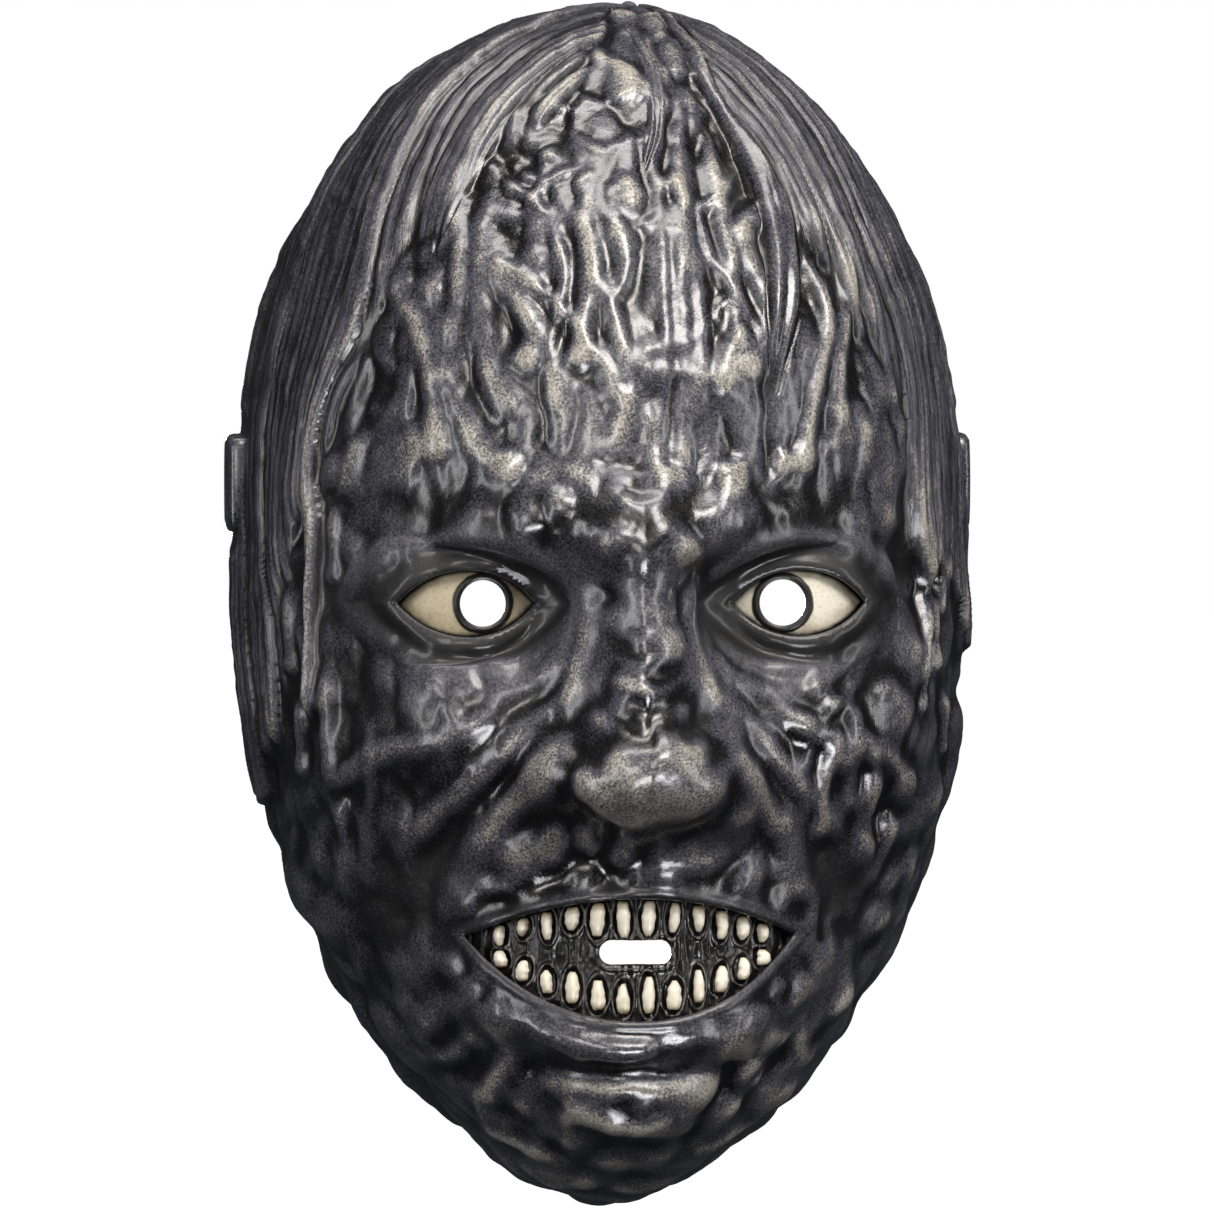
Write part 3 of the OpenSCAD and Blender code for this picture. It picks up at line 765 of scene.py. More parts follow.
def paint_marks(skin, relief, cover, strand_cover, scalp, hollow):
    """What the paint reads at each point: high, from the creases to what stands out, which is
    dry-brush paint as well as painted highlight on the relief and painted shade in the creases; and
    a second mark that darkens and lightens: black paint round the eyes and the mouth, and painted
    light and shade, lighter up the face and low on the face towards +X, darker near the rim, on the
    -X side and in the hollows."""
    x, z = skin.x, skin.z
    high = height_paint(relief, np.maximum(cover, 0.8 * strand_cover), smooth_step(10, -45, z))
    # Lighter on the bare scalp at the parting, a painted highlight.
    high += 0.16 * scalp * (1 - cover)
    high *= 1 - 0.3 * strand_cover * (1 - cover)
    # A painted pool of light on the chin, from the middle towards +X.
    chin = smooth_step(-66, -92, z) * smooth_step(-46, -18, x)
    high += 0.09 * chin
    mouth = mouth_gap(x, z)
    # Near the mouth the painted highlight is held down.
    high = np.minimum(high, 0.60 + 0.5 * smooth_step(5, 13, mouth))

    # Painted light: lighter up the face, a little lighter on the hair, and lighter low on the face
    # towards +X.
    tone_and_painted_light = 0.84 + 0.16 * smooth_step(-50, 60, z) + 0.06 * np.maximum(cover, strand_cover)
    tone_and_painted_light += 0.12 * smooth_step(-48, -78, z) * smooth_step(-42, -8, x) + 0.10 * chin
    # Painted shade near the rim, where the surface turns away.
    tone_and_painted_light *= 1 - 0.35 * smooth_step(0.34, 0.05, skin.c)
    # Painted shade on the -X side of the face.
    tone_and_painted_light *= 1 - 0.18 * smooth_step(-20, -60, x)
    # Darker in the hollows: black wash as well as painted shade.
    tone_and_painted_light *= 1 - 0.62 * smooth_step(0.4, 3.2, hollow)
    # Black paint round the eyes, which also stands in for the shade of the deep sockets.
    tone_and_painted_light *= 1 - 0.8 * np.exp(-((np.maximum(nearest_eye_gap(skin), 0) / 9.5) ** 2))
    tone_and_painted_light *= 1 - 0.55 * np.exp(-((np.maximum(mouth, 0) / 2.5) ** 2))
    return high, tone_and_painted_light


def height_paint(relief, hair, low):
    """0 in the creases to 1 on what stands out: dry-brush paint, which is also a painted highlight
    on the relief and painted shade in the creases. At two scales on the brow, mostly the small one
    low on the face, and thin lines in the hair."""
    small = relief - soften(relief, 1.1)
    large = relief - soften(relief, 4.0)
    skin = 0.5 - 0.03 * low + (0.55 + 0.35 * low) * small + (0.34 - 0.17 * low) * large
    strands = 0.36 + 0.85 * small + 0.08 * large
    return np.clip(skin * (1 - hair) + strands * hair, 0, 1)


# ---------------------------------------------------------------- meshes
def grid_triangles(m, n, offset=0):
    """Triangles of a grid of m by n points, which face -Y where its axes are X and Z."""
    i, j = np.meshgrid(np.arange(m - 1), np.arange(n - 1), indexing="ij")
    a = (i * n + j).ravel() + offset
    b, c = a + 1, a + n
    d = c + 1
    return np.vstack([np.stack([a, c, d], 1), np.stack([a, d, b], 1)])


def grid_border(m, n, offset=0):
    """The border of a grid, once round."""
    bottom = np.arange(m) * n
    right = (m - 1) * n + np.arange(n)
    top = bottom[::-1] + n - 1
    left = np.arange(n)[::-1]
    return np.concatenate([bottom[:-1], right[:-1], top[:-1], left[:-1]]) + offset


def cut_hole(points, triangles, gap, toward, snap, centre, half):
    """Pulls the nearest points onto the edge where gap is zero and drops the triangles inside.
    Returns the kept triangles and the hole's edge, ordered by the turn round its centre."""
    near = np.abs(gap) < snap
    state = np.where(near, 0.0, gap)
    corner = state[triangles]
    kept = triangles[~((corner < 0).any(axis=1) | (corner == 0).all(axis=1))]
    close = kept[(state[kept] < 8 * snap).any(axis=1)]
    starts = close.ravel()
    ends = close[:, [1, 2, 0]].ravel()
    total = len(points)
    forward = starts.astype(np.int64) * total + ends
    backward = ends.astype(np.int64) * total + starts
    single = ~np.isin(backward, forward)
    single &= (state[starts] < 3 * snap) & (state[ends] < 3 * snap)
    starts, ends = starts[single], ends[single]
    near[starts] = True
    points[near] -= gap[near, None] * toward[near]
    loop = np.unique(np.concatenate([starts, ends]))
    return kept, loop[np.argsort(turn_angles(points[loop], centre, half))]


def snap_reach(points, shape, gap):
    """Half the longest grid diagonal beside an edge."""
    flat = points[:, [0, 2]].reshape(*shape, 2)
    long = np.linalg.norm(flat[1:, 1:] - flat[:-1, :-1], axis=-1)
    beside = np.abs(gap.reshape(shape))[1:, 1:] < 3
    return 0.56 * np.percentile(long[beside], 98)


def turn_angles(points, centre, half):
    """Turn of each point round a centre in X and Z, with both axes scaled by half sizes."""
    flat = (points[:, [0, 2]] - centre) / half
    return np.arctan2(flat[:, 1], flat[:, 0])


def zip_loops(points, loop_a, loop_b, centre, half):
    """Triangles between two loops, matched by their turn round a shared centre."""

    def ordered(loop):
        angle = turn_angles(points[loop], centre, half)
        steps = np.diff(np.concatenate([angle, angle[:1]]))
        steps = (steps + np.pi) % (2 * np.pi) - np.pi
        if steps.sum() < 0:
            loop, angle = loop[::-1], angle[::-1]
        first = int(np.argmin(angle))
        loop, angle = np.roll(loop, -first), np.roll(angle, -first)
        angle = np.append(np.maximum.accumulate(angle), angle[0] + 2 * np.pi)
        return np.append(loop, loop[0]), angle

    la, aa = ordered(loop_a)
    lb, ab = ordered(loop_b)
    i = j = 0
    out = []
    while i < len(la) - 1 or j < len(lb) - 1:
        if j == len(lb) - 1 or (i < len(la) - 1 and aa[i + 1] <= ab[j + 1]):
            out.append((la[i], la[i + 1], lb[j]))
            i += 1
        else:
            out.append((la[i], lb[j + 1], lb[j]))
            j += 1
    return np.array(out)


def ring_strip(a, b):
    """Triangles between two loops with the same number of points."""
    a_next, b_next = np.roll(a, -1), np.roll(b, -1)
    return np.vstack([np.stack([a, a_next, b_next], 1), np.stack([a, b_next, b], 1)])


def face_along(points, triangles, facing):
    """Turns each triangle so that it faces the direction that facing gives for its middle."""
    p = points[triangles]
    normal = np.cross(p[:, 1] - p[:, 0], p[:, 2] - p[:, 0])
    back = (normal * facing(p.mean(axis=1))).sum(axis=1) < 0
    triangles = triangles.copy()
    triangles[back] = triangles[back][:, ::-1]
    return triangles


class Plate:
    """A front and a back grid in one mesh, joined round their holes and their borders."""

    def __init__(self, front, front_shape, back, back_shape):
        self.points = [front, back]
        self.shapes = [front_shape, back_shape]
        self.triangles = [grid_triangles(*front_shape), grid_triangles(*back_shape)[:, ::-1]]
        self.borders = [grid_border(*front_shape), grid_border(*back_shape)]
        self.rings = []
        self.strips = []

    def cut(self, measure, growth, centre, half):
        """Cuts a hole through both grids, wider by growth at the back, and returns its edges.
        measure gives each point's distance outside the hole and the direction away from it."""
        edges = []
        for k, more in enumerate((0.0, growth)):
            gap, away = measure(self.points[k])
            gap = gap - more
            snap = snap_reach(self.points[k], self.shapes[k], gap)
            self.triangles[k], edge = cut_hole(
                self.points[k], self.triangles[k], gap, away, snap, centre, half
            )
            edges.append(edge)
        return edges

    def ring(self, places):
        """Adds a ring of points and returns their numbers."""
        start = sum(len(p) for p in self.points + self.rings)
        self.rings.append(places)
        return np.arange(start, start + len(places))

    def line_hole(self, edges, centre, half, lining):
        """Lines a hole with a ring for each inset and depth, and joins the last to the back."""
        places = self.points[0][edges[0]]
        flat = unit(centre - places[:, [0, 2]])
        loops = [edges[0]]
        for inset, depth in lining:
            shift = stack(flat[:, 0] * inset, depth, flat[:, 1] * inset)
            loops.append(self.ring(places + shift))

        def facing(p):
            return stack(centre[0] - p[:, 0], -1.0, centre[1] - p[:, 2])

        self.strips.append((loops, edges[1], centre, half, facing))

    def build(self):
        """All the points, and the triangles of the front, the back and the strips."""
        points = np.vstack(self.points + self.rings)
        start = len(self.points[0])
        made = []
        for loops, back_loop, centre, half, facing in self.strips:
            strips = [ring_strip(a, b) for a, b in zip(loops[:-1], loops[1:])]
            strips.append(zip_loops(points, loops[-1], back_loop + start, centre, half))
            made += [face_along(points, strip, facing) for strip in strips]
        return points, [self.triangles[0], self.triangles[1] + start, np.vstack(made)]


def mesh_from(name, points, faces, uv=None, attributes=None, scale=MM):
    """A mesh object from points in mm. faces is one array of triangles or of quads."""
    mesh = bpy.data.meshes.new(name)
    faces = np.asarray(faces, np.int32)
    sides = faces.shape[1]
    mesh.vertices.add(len(points))
    mesh.vertices.foreach_set("co", (np.asarray(points, float) * scale).astype(np.float32).ravel())
    mesh.loops.add(faces.size)
    mesh.loops.foreach_set("vertex_index", faces.ravel())
    mesh.polygons.add(len(faces))
    mesh.polygons.foreach_set("loop_start", np.arange(0, faces.size, sides, dtype=np.int32))
    mesh.polygons.foreach_set("use_smooth", np.ones(len(faces), bool))
    mesh.update(calc_edges=True)
    if uv is not None:
        layer = mesh.uv_layers.new(name="OFBake")
        layer.data.foreach_set("uv", np.asarray(uv, np.float32).ravel())
    for key, values in (attributes or {}).items():
        layer = mesh.attributes.new(key, "FLOAT", "POINT")
        layer.data.foreach_set("value", np.asarray(values, np.float32).ravel())
    obj = bpy.data.objects.new(name, mesh)
    bpy.context.scene.collection.objects.link(obj)
    return obj


def over_front(values, total, rest):
    """One number for each of total points: the given ones on the front grid, then rest."""
    return np.concatenate([values.ravel(), np.full(total - values.size, rest)])


def raised(front, normal, height):
    """Points raised along their normals, but never behind the plane of the rim."""
    points = (front + normal * height[..., None]).reshape(-1, 3)
    points[:, 1] = np.minimum(points[:, 1], 0)
    return points


def level_edge(points, loop):
    """Evens out the depth along a hole's edge."""
    y = points[loop, 1]
    around = np.concatenate([y[-2:], y, y[:2]])
    points[loop, 1] = np.convolve(around, np.ones(5) / 5, mode="valid")


def loft(rings, closed_path=False):
    """Quads between rings of points; every ring has the same number."""
    rings = np.asarray(rings, float)
    m, n = rings.shape[:2]
    gi, gj = np.meshgrid(np.arange(m if closed_path else m - 1), np.arange(n), indexing="ij")
    a = gi * n + gj
    b = gi * n + (gj + 1) % n
    c = ((gi + 1) % m) * n + (gj + 1) % n
    d = ((gi + 1) % m) * n + gj
    return rings.reshape(-1, 3), np.stack([a, b, c, d], -1).reshape(-1, 4)


# ---------------------------------------------------------------- materials
class Paint:
    """A material's node tree, built a node at a time."""

    def __init__(self, name):
        self.material = bpy.data.materials.new(name)
        self.material.use_nodes = True
        self.tree = self.material.node_tree
        self.surface = self.tree.nodes["Principled BSDF"]

    def node(self, kind, **values):
        """Adds a node and sets what is given for it."""
        made = self.tree.nodes.new(kind)
        for key, value in values.items():
            setattr(made, key, value)
        return made

    def link(self, source, target):
        self.tree.links.new(source, target)

    def value(self, source, target):
        """Links a socket, or sets a plain number."""
        if isinstance(source, bpy.types.NodeSocket):
            self.link(source, target)
        else:
            target.default_value = source

    def place(self):
        """Place on the object, in metres."""
        return self.node("ShaderNodeTexCoord").outputs["Object"]

    def attribute(self, name):
        return self.node("ShaderNodeAttribute", attribute_name=name).outputs["Fac"]

    def noise(self, scale, detail=3.0, roughness=0.55, at=None):
        made = self.node("ShaderNodeTexNoise")
        made.inputs["Scale"].default_value = scale
        made.inputs["Detail"].default_value = detail
        made.inputs["Roughness"].default_value = roughness
        self.link(at or self.place(), made.inputs["Vector"])
        return made.outputs["Fac"]

    def math(self, operation, a, b=0.0, c=0.0):
        made = self.node("ShaderNodeMath", operation=operation)
        for socket, value in zip(made.inputs, (a, b, c)):
            self.value(value, socket)
        return made.outputs[0]

    def spread(self, source, low, high, to_low=0.0, to_high=1.0):
        made = self.node("ShaderNodeMapRange")
        self.value(source, made.inputs["Value"])
        limits = {"From Min": low, "From Max": high, "To Min": to_low, "To Max": to_high}
        for key, value in limits.items():
            made.inputs[key].default_value = value
        return made.outputs["Result"]

    def ramp(self, source, stops):
        made = self.node("ShaderNodeValToRGB")
        self.link(source, made.inputs["Fac"])
        bar = made.color_ramp
        while len(bar.elements) < len(stops):
            bar.elements.new(0.5)
        for element, (place, colour) in zip(bar.elements, stops):
            element.position = place
            element.color = (*colour, 1)
        return made.outputs["Color"]

    def mix(self, weight, a, b):
        made = self.node("ShaderNodeMix", data_type="RGBA")
        self.value(weight, made.inputs["Factor"])
        for socket, value in ((made.inputs["A"], a), (made.inputs["B"], b)):
            if isinstance(value, bpy.types.NodeSocket):
                self.link(value, socket)
            else:
                socket.default_value = (*value, 1)
        return made.outputs["Result"]

    def multiply(self, a, b):
        made = self.node("ShaderNodeMix", data_type="RGBA", blend_type="MULTIPLY")
        made.inputs["Factor"].default_value = 1.0
        self.link(a, made.inputs["A"])
        self.link(b, made.inputs["B"])
        return made.outputs["Result"]

    def relief(self, height, distance, strength=1.0, below=None):
        made = self.node("ShaderNodeBump")
        made.inputs["Strength"].default_value = strength
        made.inputs["Distance"].default_value = distance
        self.link(height, made.inputs["Height"])
        if below is not None:
            self.link(below, made.inputs["Normal"])
        return made.outputs["Normal"]

    def finish(self, colour, roughness, normal=None, **constants):
        for value, key in ((colour, "Base Color"), (roughness, "Roughness")):
            if isinstance(value, tuple):
                self.surface.inputs[key].default_value = (*value, 1)
            else:
                self.value(value, self.surface.inputs[key])
        if normal is not None:
            self.link(normal, self.surface.inputs["Normal"])
        for key, value in constants.items():
            self.surface.inputs[key.replace("_", " ")].default_value = value
        return self.material


def skin_paint():
    """Dark moulded rubber: blue-grey skin, black in the hollows and warm grey dry-brush on what
    stands out, which also carry painted shade in the hollows and painted highlights on the raised
    relief.
    """
    p = Paint("mould_skin")
    high = p.attribute("high")
    tone_and_painted_light = p.attribute("tone_and_painted_light")
    speckle = p.noise(1900, 1, 0.6)
    patch = p.noise(70, 4, 0.6)
    # Dry-brush and painted highlight, darkened by the painted shade of the face.
    brush_and_light_level = p.math("MULTIPLY", high, tone_and_painted_light)
    level = p.math("ADD", brush_and_light_level, p.spread(speckle, 0.3, 0.7, -0.12, 0.12))
    level = p.math("ADD", level, p.spread(patch, 0.3, 0.7, -0.10, 0.10))
    matt = p.spread(tone_and_painted_light, 0.25, 0.85, 0.34, 0.0)
    # From black in the creases, black paint as well as painted shade, through blue-grey to the warm
    # grey of the dry-brush, which is also a painted highlight.
    colour = p.ramp(level, [
        (0.0, (0.0045, 0.0042, 0.004)), (0.2, (0.013, 0.013, 0.0155)),
        (0.4, (0.053, 0.054, 0.072)), (0.7, (0.108, 0.108, 0.126)), (1.0, (0.40, 0.375, 0.335)),
    ])
    dirt = p.ramp(speckle, [(0.32, (0.42, 0.42, 0.42)), (0.68, (1.0, 0.99, 0.97))])
    colour = p.multiply(colour, dirt)
    gloss = p.spread(patch, 0.3, 0.7, 0.23, 0.35)
    roughness = p.math("ADD", gloss, p.spread(speckle, 0.3, 0.7, -0.03, 0.05))
    roughness = p.math("ADD", roughness, matt)
    roughness = p.math("ADD", roughness, p.math("MULTIPLY", p.attribute("hair"), 0.08))
    strands = p.node("ShaderNodeCombineXYZ")
    p.link(p.attribute("hair_across"), strands.inputs[0])
    p.link(p.attribute("hair_along"), strands.inputs[1])
    hair = p.math("MULTIPLY", p.noise(1.0, 3, 0.6, at=strands.outputs[0]), p.attribute("hair"))
    normal = p.relief(hair, 0.00045, 0.8)
    normal = p.relief(p.noise(420, 4, 0.6), 0.00022, 0.55, below=normal)
    normal = p.relief(speckle, 0.00007, 0.6, below=normal)
    return p.finish(
        colour, roughness, normal, Specular_IOR_Level=0.62, Coat_Weight=0.4, Coat_Roughness=0.22
    )


def eye_paint(name, cream, shade):
    """Cream paint with a black ring round the pupil and black where the lids meet it."""
    p = Paint(name)
    wobble = p.spread(p.noise(260, 3), 0.3, 0.7, -0.18, 0.18)
    ring = p.math("ADD", p.attribute("from_pupil"), wobble)
    lids = p.math("ADD", p.attribute("from_lids"), wobble)
    inside = p.math("MULTIPLY", p.spread(ring, 1.5, 1.8), p.spread(lids, 0.5, 1.3))
    blotches = p.spread(p.noise(120, 4, 0.7), 0.35, 0.7)
    # The cream darkens towards the lids, in blotches.
    edge = p.math("MULTIPLY", p.spread(lids, 4.5, 1.0), blotches)
    speck = p.math("MULTIPLY", p.spread(p.noise(1500, 2, 0.7), 0.52, 0.74), 0.45)
    body = p.mix(edge, cream, shade)
    body = p.mix(speck, body, shade)
    colour = p.mix(inside, (0.006, 0.0055, 0.005), body)
    normal = p.relief(p.noise(700, 3), 0.00012, 0.5)
    return p.finish(colour, p.spread(blotches, 0, 1, 0.34, 0.5), normal, Specular_IOR_Level=0.5)


def gum_paint():
    """Glossy black gums with a warm dry-brushed edge on what stands out, which is also a painted
    highlight.
    """
    p = Paint("gum_gloss")
    level = p.math("ADD", p.attribute("high"), p.spread(p.noise(500, 4), 0.3, 0.7, -0.2, 0.2))
    # Black in the hollows, warm grey on what stands out: dry-brush and painted highlight.
    colour = p.ramp(level, [
        (0.0, (0.003, 0.0027, 0.0025)), (0.66, (0.0065, 0.006, 0.0058)), (1.0, (0.17, 0.155, 0.14)),
    ])
    normal = p.relief(p.noise(900, 3), 0.0001, 0.5)
    roughness = p.spread(p.noise(90, 3), 0.3, 0.7, 0.24, 0.4)
    return p.finish(colour, roughness, normal, Specular_IOR_Level=0.5)


def tooth_paint():
    """Cream tooth enamel, browner at the root and in its cracks."""
    p = Paint("tooth_enamel")
    root = p.attribute("root")
    cracks = p.spread(p.noise(420, 5, 0.7), 0.46, 0.62)
    level = p.math("ADD", root, p.math("MULTIPLY", cracks, 0.28))
    colour = p.ramp(level, [
        (0.0, (0.86, 0.81, 0.68)), (0.4, (0.72, 0.63, 0.46)), (0.75, (0.36, 0.27, 0.15)),
        (1.0, (0.02, 0.015, 0.01)),
    ])
    normal = p.relief(p.noise(620, 3), 0.00014, 0.6)
    return p.finish(colour, p.spread(cracks, 0, 1, 0.26, 0.42), normal, Specular_IOR_Level=0.5)


def foam_paint():
    """Black open-cell foam."""
    p = Paint("pad_foam")
    pores = p.node("ShaderNodeTexVoronoi")
    pores.inputs["Scale"].default_value = 900
    p.link(p.place(), pores.inputs["Vector"])
    hole = p.spread(pores.outputs["Distance"], 0.05, 0.5)
    # Darker inside the pores, a painted shade.
    colour = p.ramp(hole, [(0.0, (0.006, 0.006, 0.007)), (1.0, (0.045, 0.045, 0.05))])
    normal = p.relief(hole, 0.0005, 0.9)
    normal = p.relief(p.noise(160, 3), 0.0006, 0.4, below=normal)
    return p.finish(colour, p.spread(hole, 0, 1, 0.95, 0.8), normal, Specular_IOR_Level=0.25)


def elastic_paint():
    """Woven black elastic: ribs along it and a crossing weave, read from its own lengths in mm."""
    p = Paint("strap_elastic")
    along = p.attribute("along")
    across = p.attribute("across")
    rib = p.math("SINE", p.math("MULTIPLY", across, 2 * math.pi / 1.25))
    weft = p.math("SINE", p.math("MULTIPLY", along, 2 * math.pi / 0.9))
    weave = p.math("MULTIPLY", rib, weft)
    height = p.math("ADD", p.math("MULTIPLY", rib, 0.6), weave)
    lint = p.noise(1300, 3, 0.7)
    # Darker in the grooves of the weave and lighter on its raised threads: painted shade and
    # painted highlight.
    level = p.math("ADD", p.spread(height, -1.6, 1.6), p.spread(lint, 0.3, 0.7, -0.2, 0.2))
    colour = p.ramp(level, [
        (0.0, (0.006, 0.006, 0.007)), (0.6, (0.022, 0.022, 0.025)), (1.0, (0.07, 0.07, 0.078)),
    ])
    normal = p.relief(height, 0.00016, 0.9)
    normal = p.relief(lint, 0.00008, 0.5, below=normal)
    roughness = p.spread(height, -1.6, 1.6, 0.85, 0.62)
    return p.finish(colour, roughness, normal, Specular_IOR_Level=0.35)


def thread_paint():
    """Grey sewing thread, twisted."""
    p = Paint("sewing_thread")
    twist = p.node("ShaderNodeTexWave")
    twist.inputs["Scale"].default_value = 700
    twist.inputs["Distortion"].default_value = 2.0
    p.link(p.place(), twist.inputs["Vector"])
    # Darker in the grooves of the twist and lighter on its ridges: painted shade and painted
    # highlight.
    colour = p.ramp(twist.outputs["Fac"], [(0.0, (0.05, 0.05, 0.055)), (1.0, (0.16, 0.16, 0.17))])
    return p.finish(colour, 0.6, p.relief(twist.outputs["Fac"], 0.00005, 0.8))


def plastic_paint():
    """Black moulded plastic with a fine spark texture and scuffed patches."""
    p = Paint("hardware_plastic")
    grain = p.noise(1100, 3, 0.6)
    scuff = p.spread(p.noise(55, 5, 0.7), 0.52, 0.72)
    colour = p.mix(p.math("MULTIPLY", scuff, 0.6), (0.012, 0.012, 0.013), (0.055, 0.055, 0.06))
    normal = p.relief(grain, 0.00008, 0.7)
    return p.finish(colour, p.spread(scuff, 0, 1, 0.42, 0.6), normal, Specular_IOR_Level=0.5)


def metal_paint(name, colour, dark):
    """Turned steel: a fine brushed grain, tarnish in patches."""
    p = Paint(name)
    tarnish = p.spread(p.noise(300, 4, 0.7), 0.45, 0.65)
    brush = p.noise(2400, 2, 0.7)
    shade = p.mix(tarnish, colour, dark)
    normal = p.relief(brush, 0.00003, 0.8)
    return p.finish(shade, p.spread(tarnish, 0, 1, 0.28, 0.5), normal, Metallic=1.0)


# ---------------------------------------------------------------- the moulded face
def make_face(material):
    """The moulded face: the skin and its inside, joined round each opening and along the rim."""
    u, v = square_grid(SKIN_STEPS)
    skin = Skin(u, v)
    cover, hair, across, along = hair_field(skin)
    cover = soften(cover, 0.45)
    strands, strand_cover = wet_strands(skin)
    scalp = np.exp(-(((skin.x - PARTING_X) / 15) ** 2)) * smooth_step(92, 122, skin.z)
    hollow = hollow_depth(skin)
    relief = face_relief(skin, cover, hair, strands, strand_cover, scalp, hollow)
    high, tone_and_painted_light = paint_marks(skin, relief, cover, strand_cover, scalp, hollow)

    picked = np.linspace(0, SKIN_STEPS, BACK_STEPS + 1).round().astype(int)
    picked = np.ix_(picked, picked)
    inside = (np.minimum(soften(relief, 2.2), relief + 1.2) - WALL)[picked]
    plate = Plate(
        raised(skin.front, skin.normal, relief), relief.shape,
        raised(skin.front[picked], skin.normal[picked], inside), inside.shape,
    )
    for centre, half, base_x, arcs in OPENINGS:
        edges = plate.cut(lens_measure(base_x, arcs), BACK_OPENING_GROWTH, centre, half)
        level_edge(plate.points[0], edges[0])
        plate.line_hole(edges, centre, half, OPENING_LINING)
    rim = plate.points[0][plate.borders[0]]
    outward = unit(rim[:, [0, 2]])
    plate.points[0][plate.borders[0], 1] = -0.35
    plate.points[1][plate.borders[1], 1] = -0.4
    loops = [plate.borders[0]]
    for inset in (0.35, WALL - 0.45):
        flat = rim[:, [0, 2]] - outward * inset
        loops.append(plate.ring(stack(flat[:, 0], 0.0, flat[:, 1])))

    def facing(p):
        return stack(p[:, 0] * 0.002, 1.0, p[:, 2] * 0.002)

    plate.strips.append((loops, plate.borders[1], (0.0, 0.0), (HALF_WIDTH, CROWN), facing))
    points, parts = plate.build()

    # The skin on the left of the texture, the inside beside it, the edges in a thin strip
    uv_front = stack((u + 1) / 2 * 0.78 + 0.005, (v + 1) / 2 * 0.99 + 0.005).reshape(-1, 2)
    uv_back = stack((u + 1) / 2 * 0.19 + 0.795, (v + 1) / 2 * 0.99 + 0.005)[picked].reshape(-1, 2)
    uv_edges = points[parts[2]][..., [0, 2]] / np.array([400.0, 320.0]) * 0.02
    corner_uv = np.concatenate([
        uv_front[parts[0]], uv_back[parts[1] - len(uv_front)], uv_edges + np.array([0.992, 0.5]),
    ])
    total = len(points)
    attributes = {
        "high": over_front(high, total, 0.64),
        "tone_and_painted_light": over_front(tone_and_painted_light, total, 1.0),
        "hair": over_front(cover, total, 0.0),
        "hair_across": over_front(across * 1.9, total, 0.0),
        "hair_along": over_front(along * 0.07, total, 0.0),
    }
    obj = mesh_from("face", points, np.vstack(parts), corner_uv, attributes)
    obj.data.materials.append(material)
    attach(obj, "mask")
    return obj


def make_lugs(material):
    """The moulded strap lugs: rounded blocks with a soft top that melts into the skin."""
    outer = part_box("face_shell")[1][0] / MM
    inner = outer - LUG_THICK
    boss = inner - BOSS_THICK
    block = [
        (inner, 0.5), (inner + 0.5, 0.0), (outer - 1.5, 0.0), (outer - 0.6, 0.25),
        (outer - 0.15, 0.8), (outer, 1.6), (outer - 0.05, 3.2),
    ]
    bore = [
        (outer - 0.05, 4.8), (outer - 1.5, 4.75), (outer - 1.6, 2.1), (boss, 2.1), (boss, 4.7),
        (boss + 0.3, 5.0), (inner, 5.1),
    ]
    for side, name in ((1, "strap_lug_left"), (-1, "strap_lug_right")):
        rings = [
            [(side * x, y, z) for y, z in rounded_outline(LUG_HALF_Y - shrink, LUG_HALF_Z - shrink)]
            for x, shrink in block
        ]
        rings += [
            [
                (side * x, RIVET_Y + radius * math.cos(t), RIVET_Z + radius * math.sin(t))
                for t in outline_turns()
            ]
            for x, radius in bore
        ]
        points, quads = loft(rings, closed_path=True)
        if side > 0:
            quads = quads[:, ::-1]
        none = np.zeros(len(points))
        attributes = {
            "high": 0.42 + 0.2 * noise(points / 4, 91), "tone_and_painted_light": np.ones(len(points)),
            "hair": none, "hair_across": none, "hair_along": none,
        }
        obj = mesh_from(name, points, quads, attributes=attributes)
        obj.data.materials.append(material)
        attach(obj, "mask")


def outline_turns(count=48):
    """The turns at which the outlines of a lug have their points."""
    return [2 * math.pi * (k + 0.5) / count for k in range(count)]


def rounded_outline(half_y, half_z):
    """A lug's rounded rectangle, with as many points as outline_turns gives."""
    out = []
    for t in outline_turns():
        c, s = math.cos(t), math.sin(t)
        sy, sz = math.copysign(1, c), math.copysign(1, s)
        out.append((
            LUG_Y + sy * (half_y - LUG_CORNER) * min(1, abs(c) * 1.6) + LUG_CORNER * c,
            RIVET_Z + sz * (half_z - LUG_CORNER) * min(1, abs(s) * 1.6) + LUG_CORNER * s,
        ))
    return out


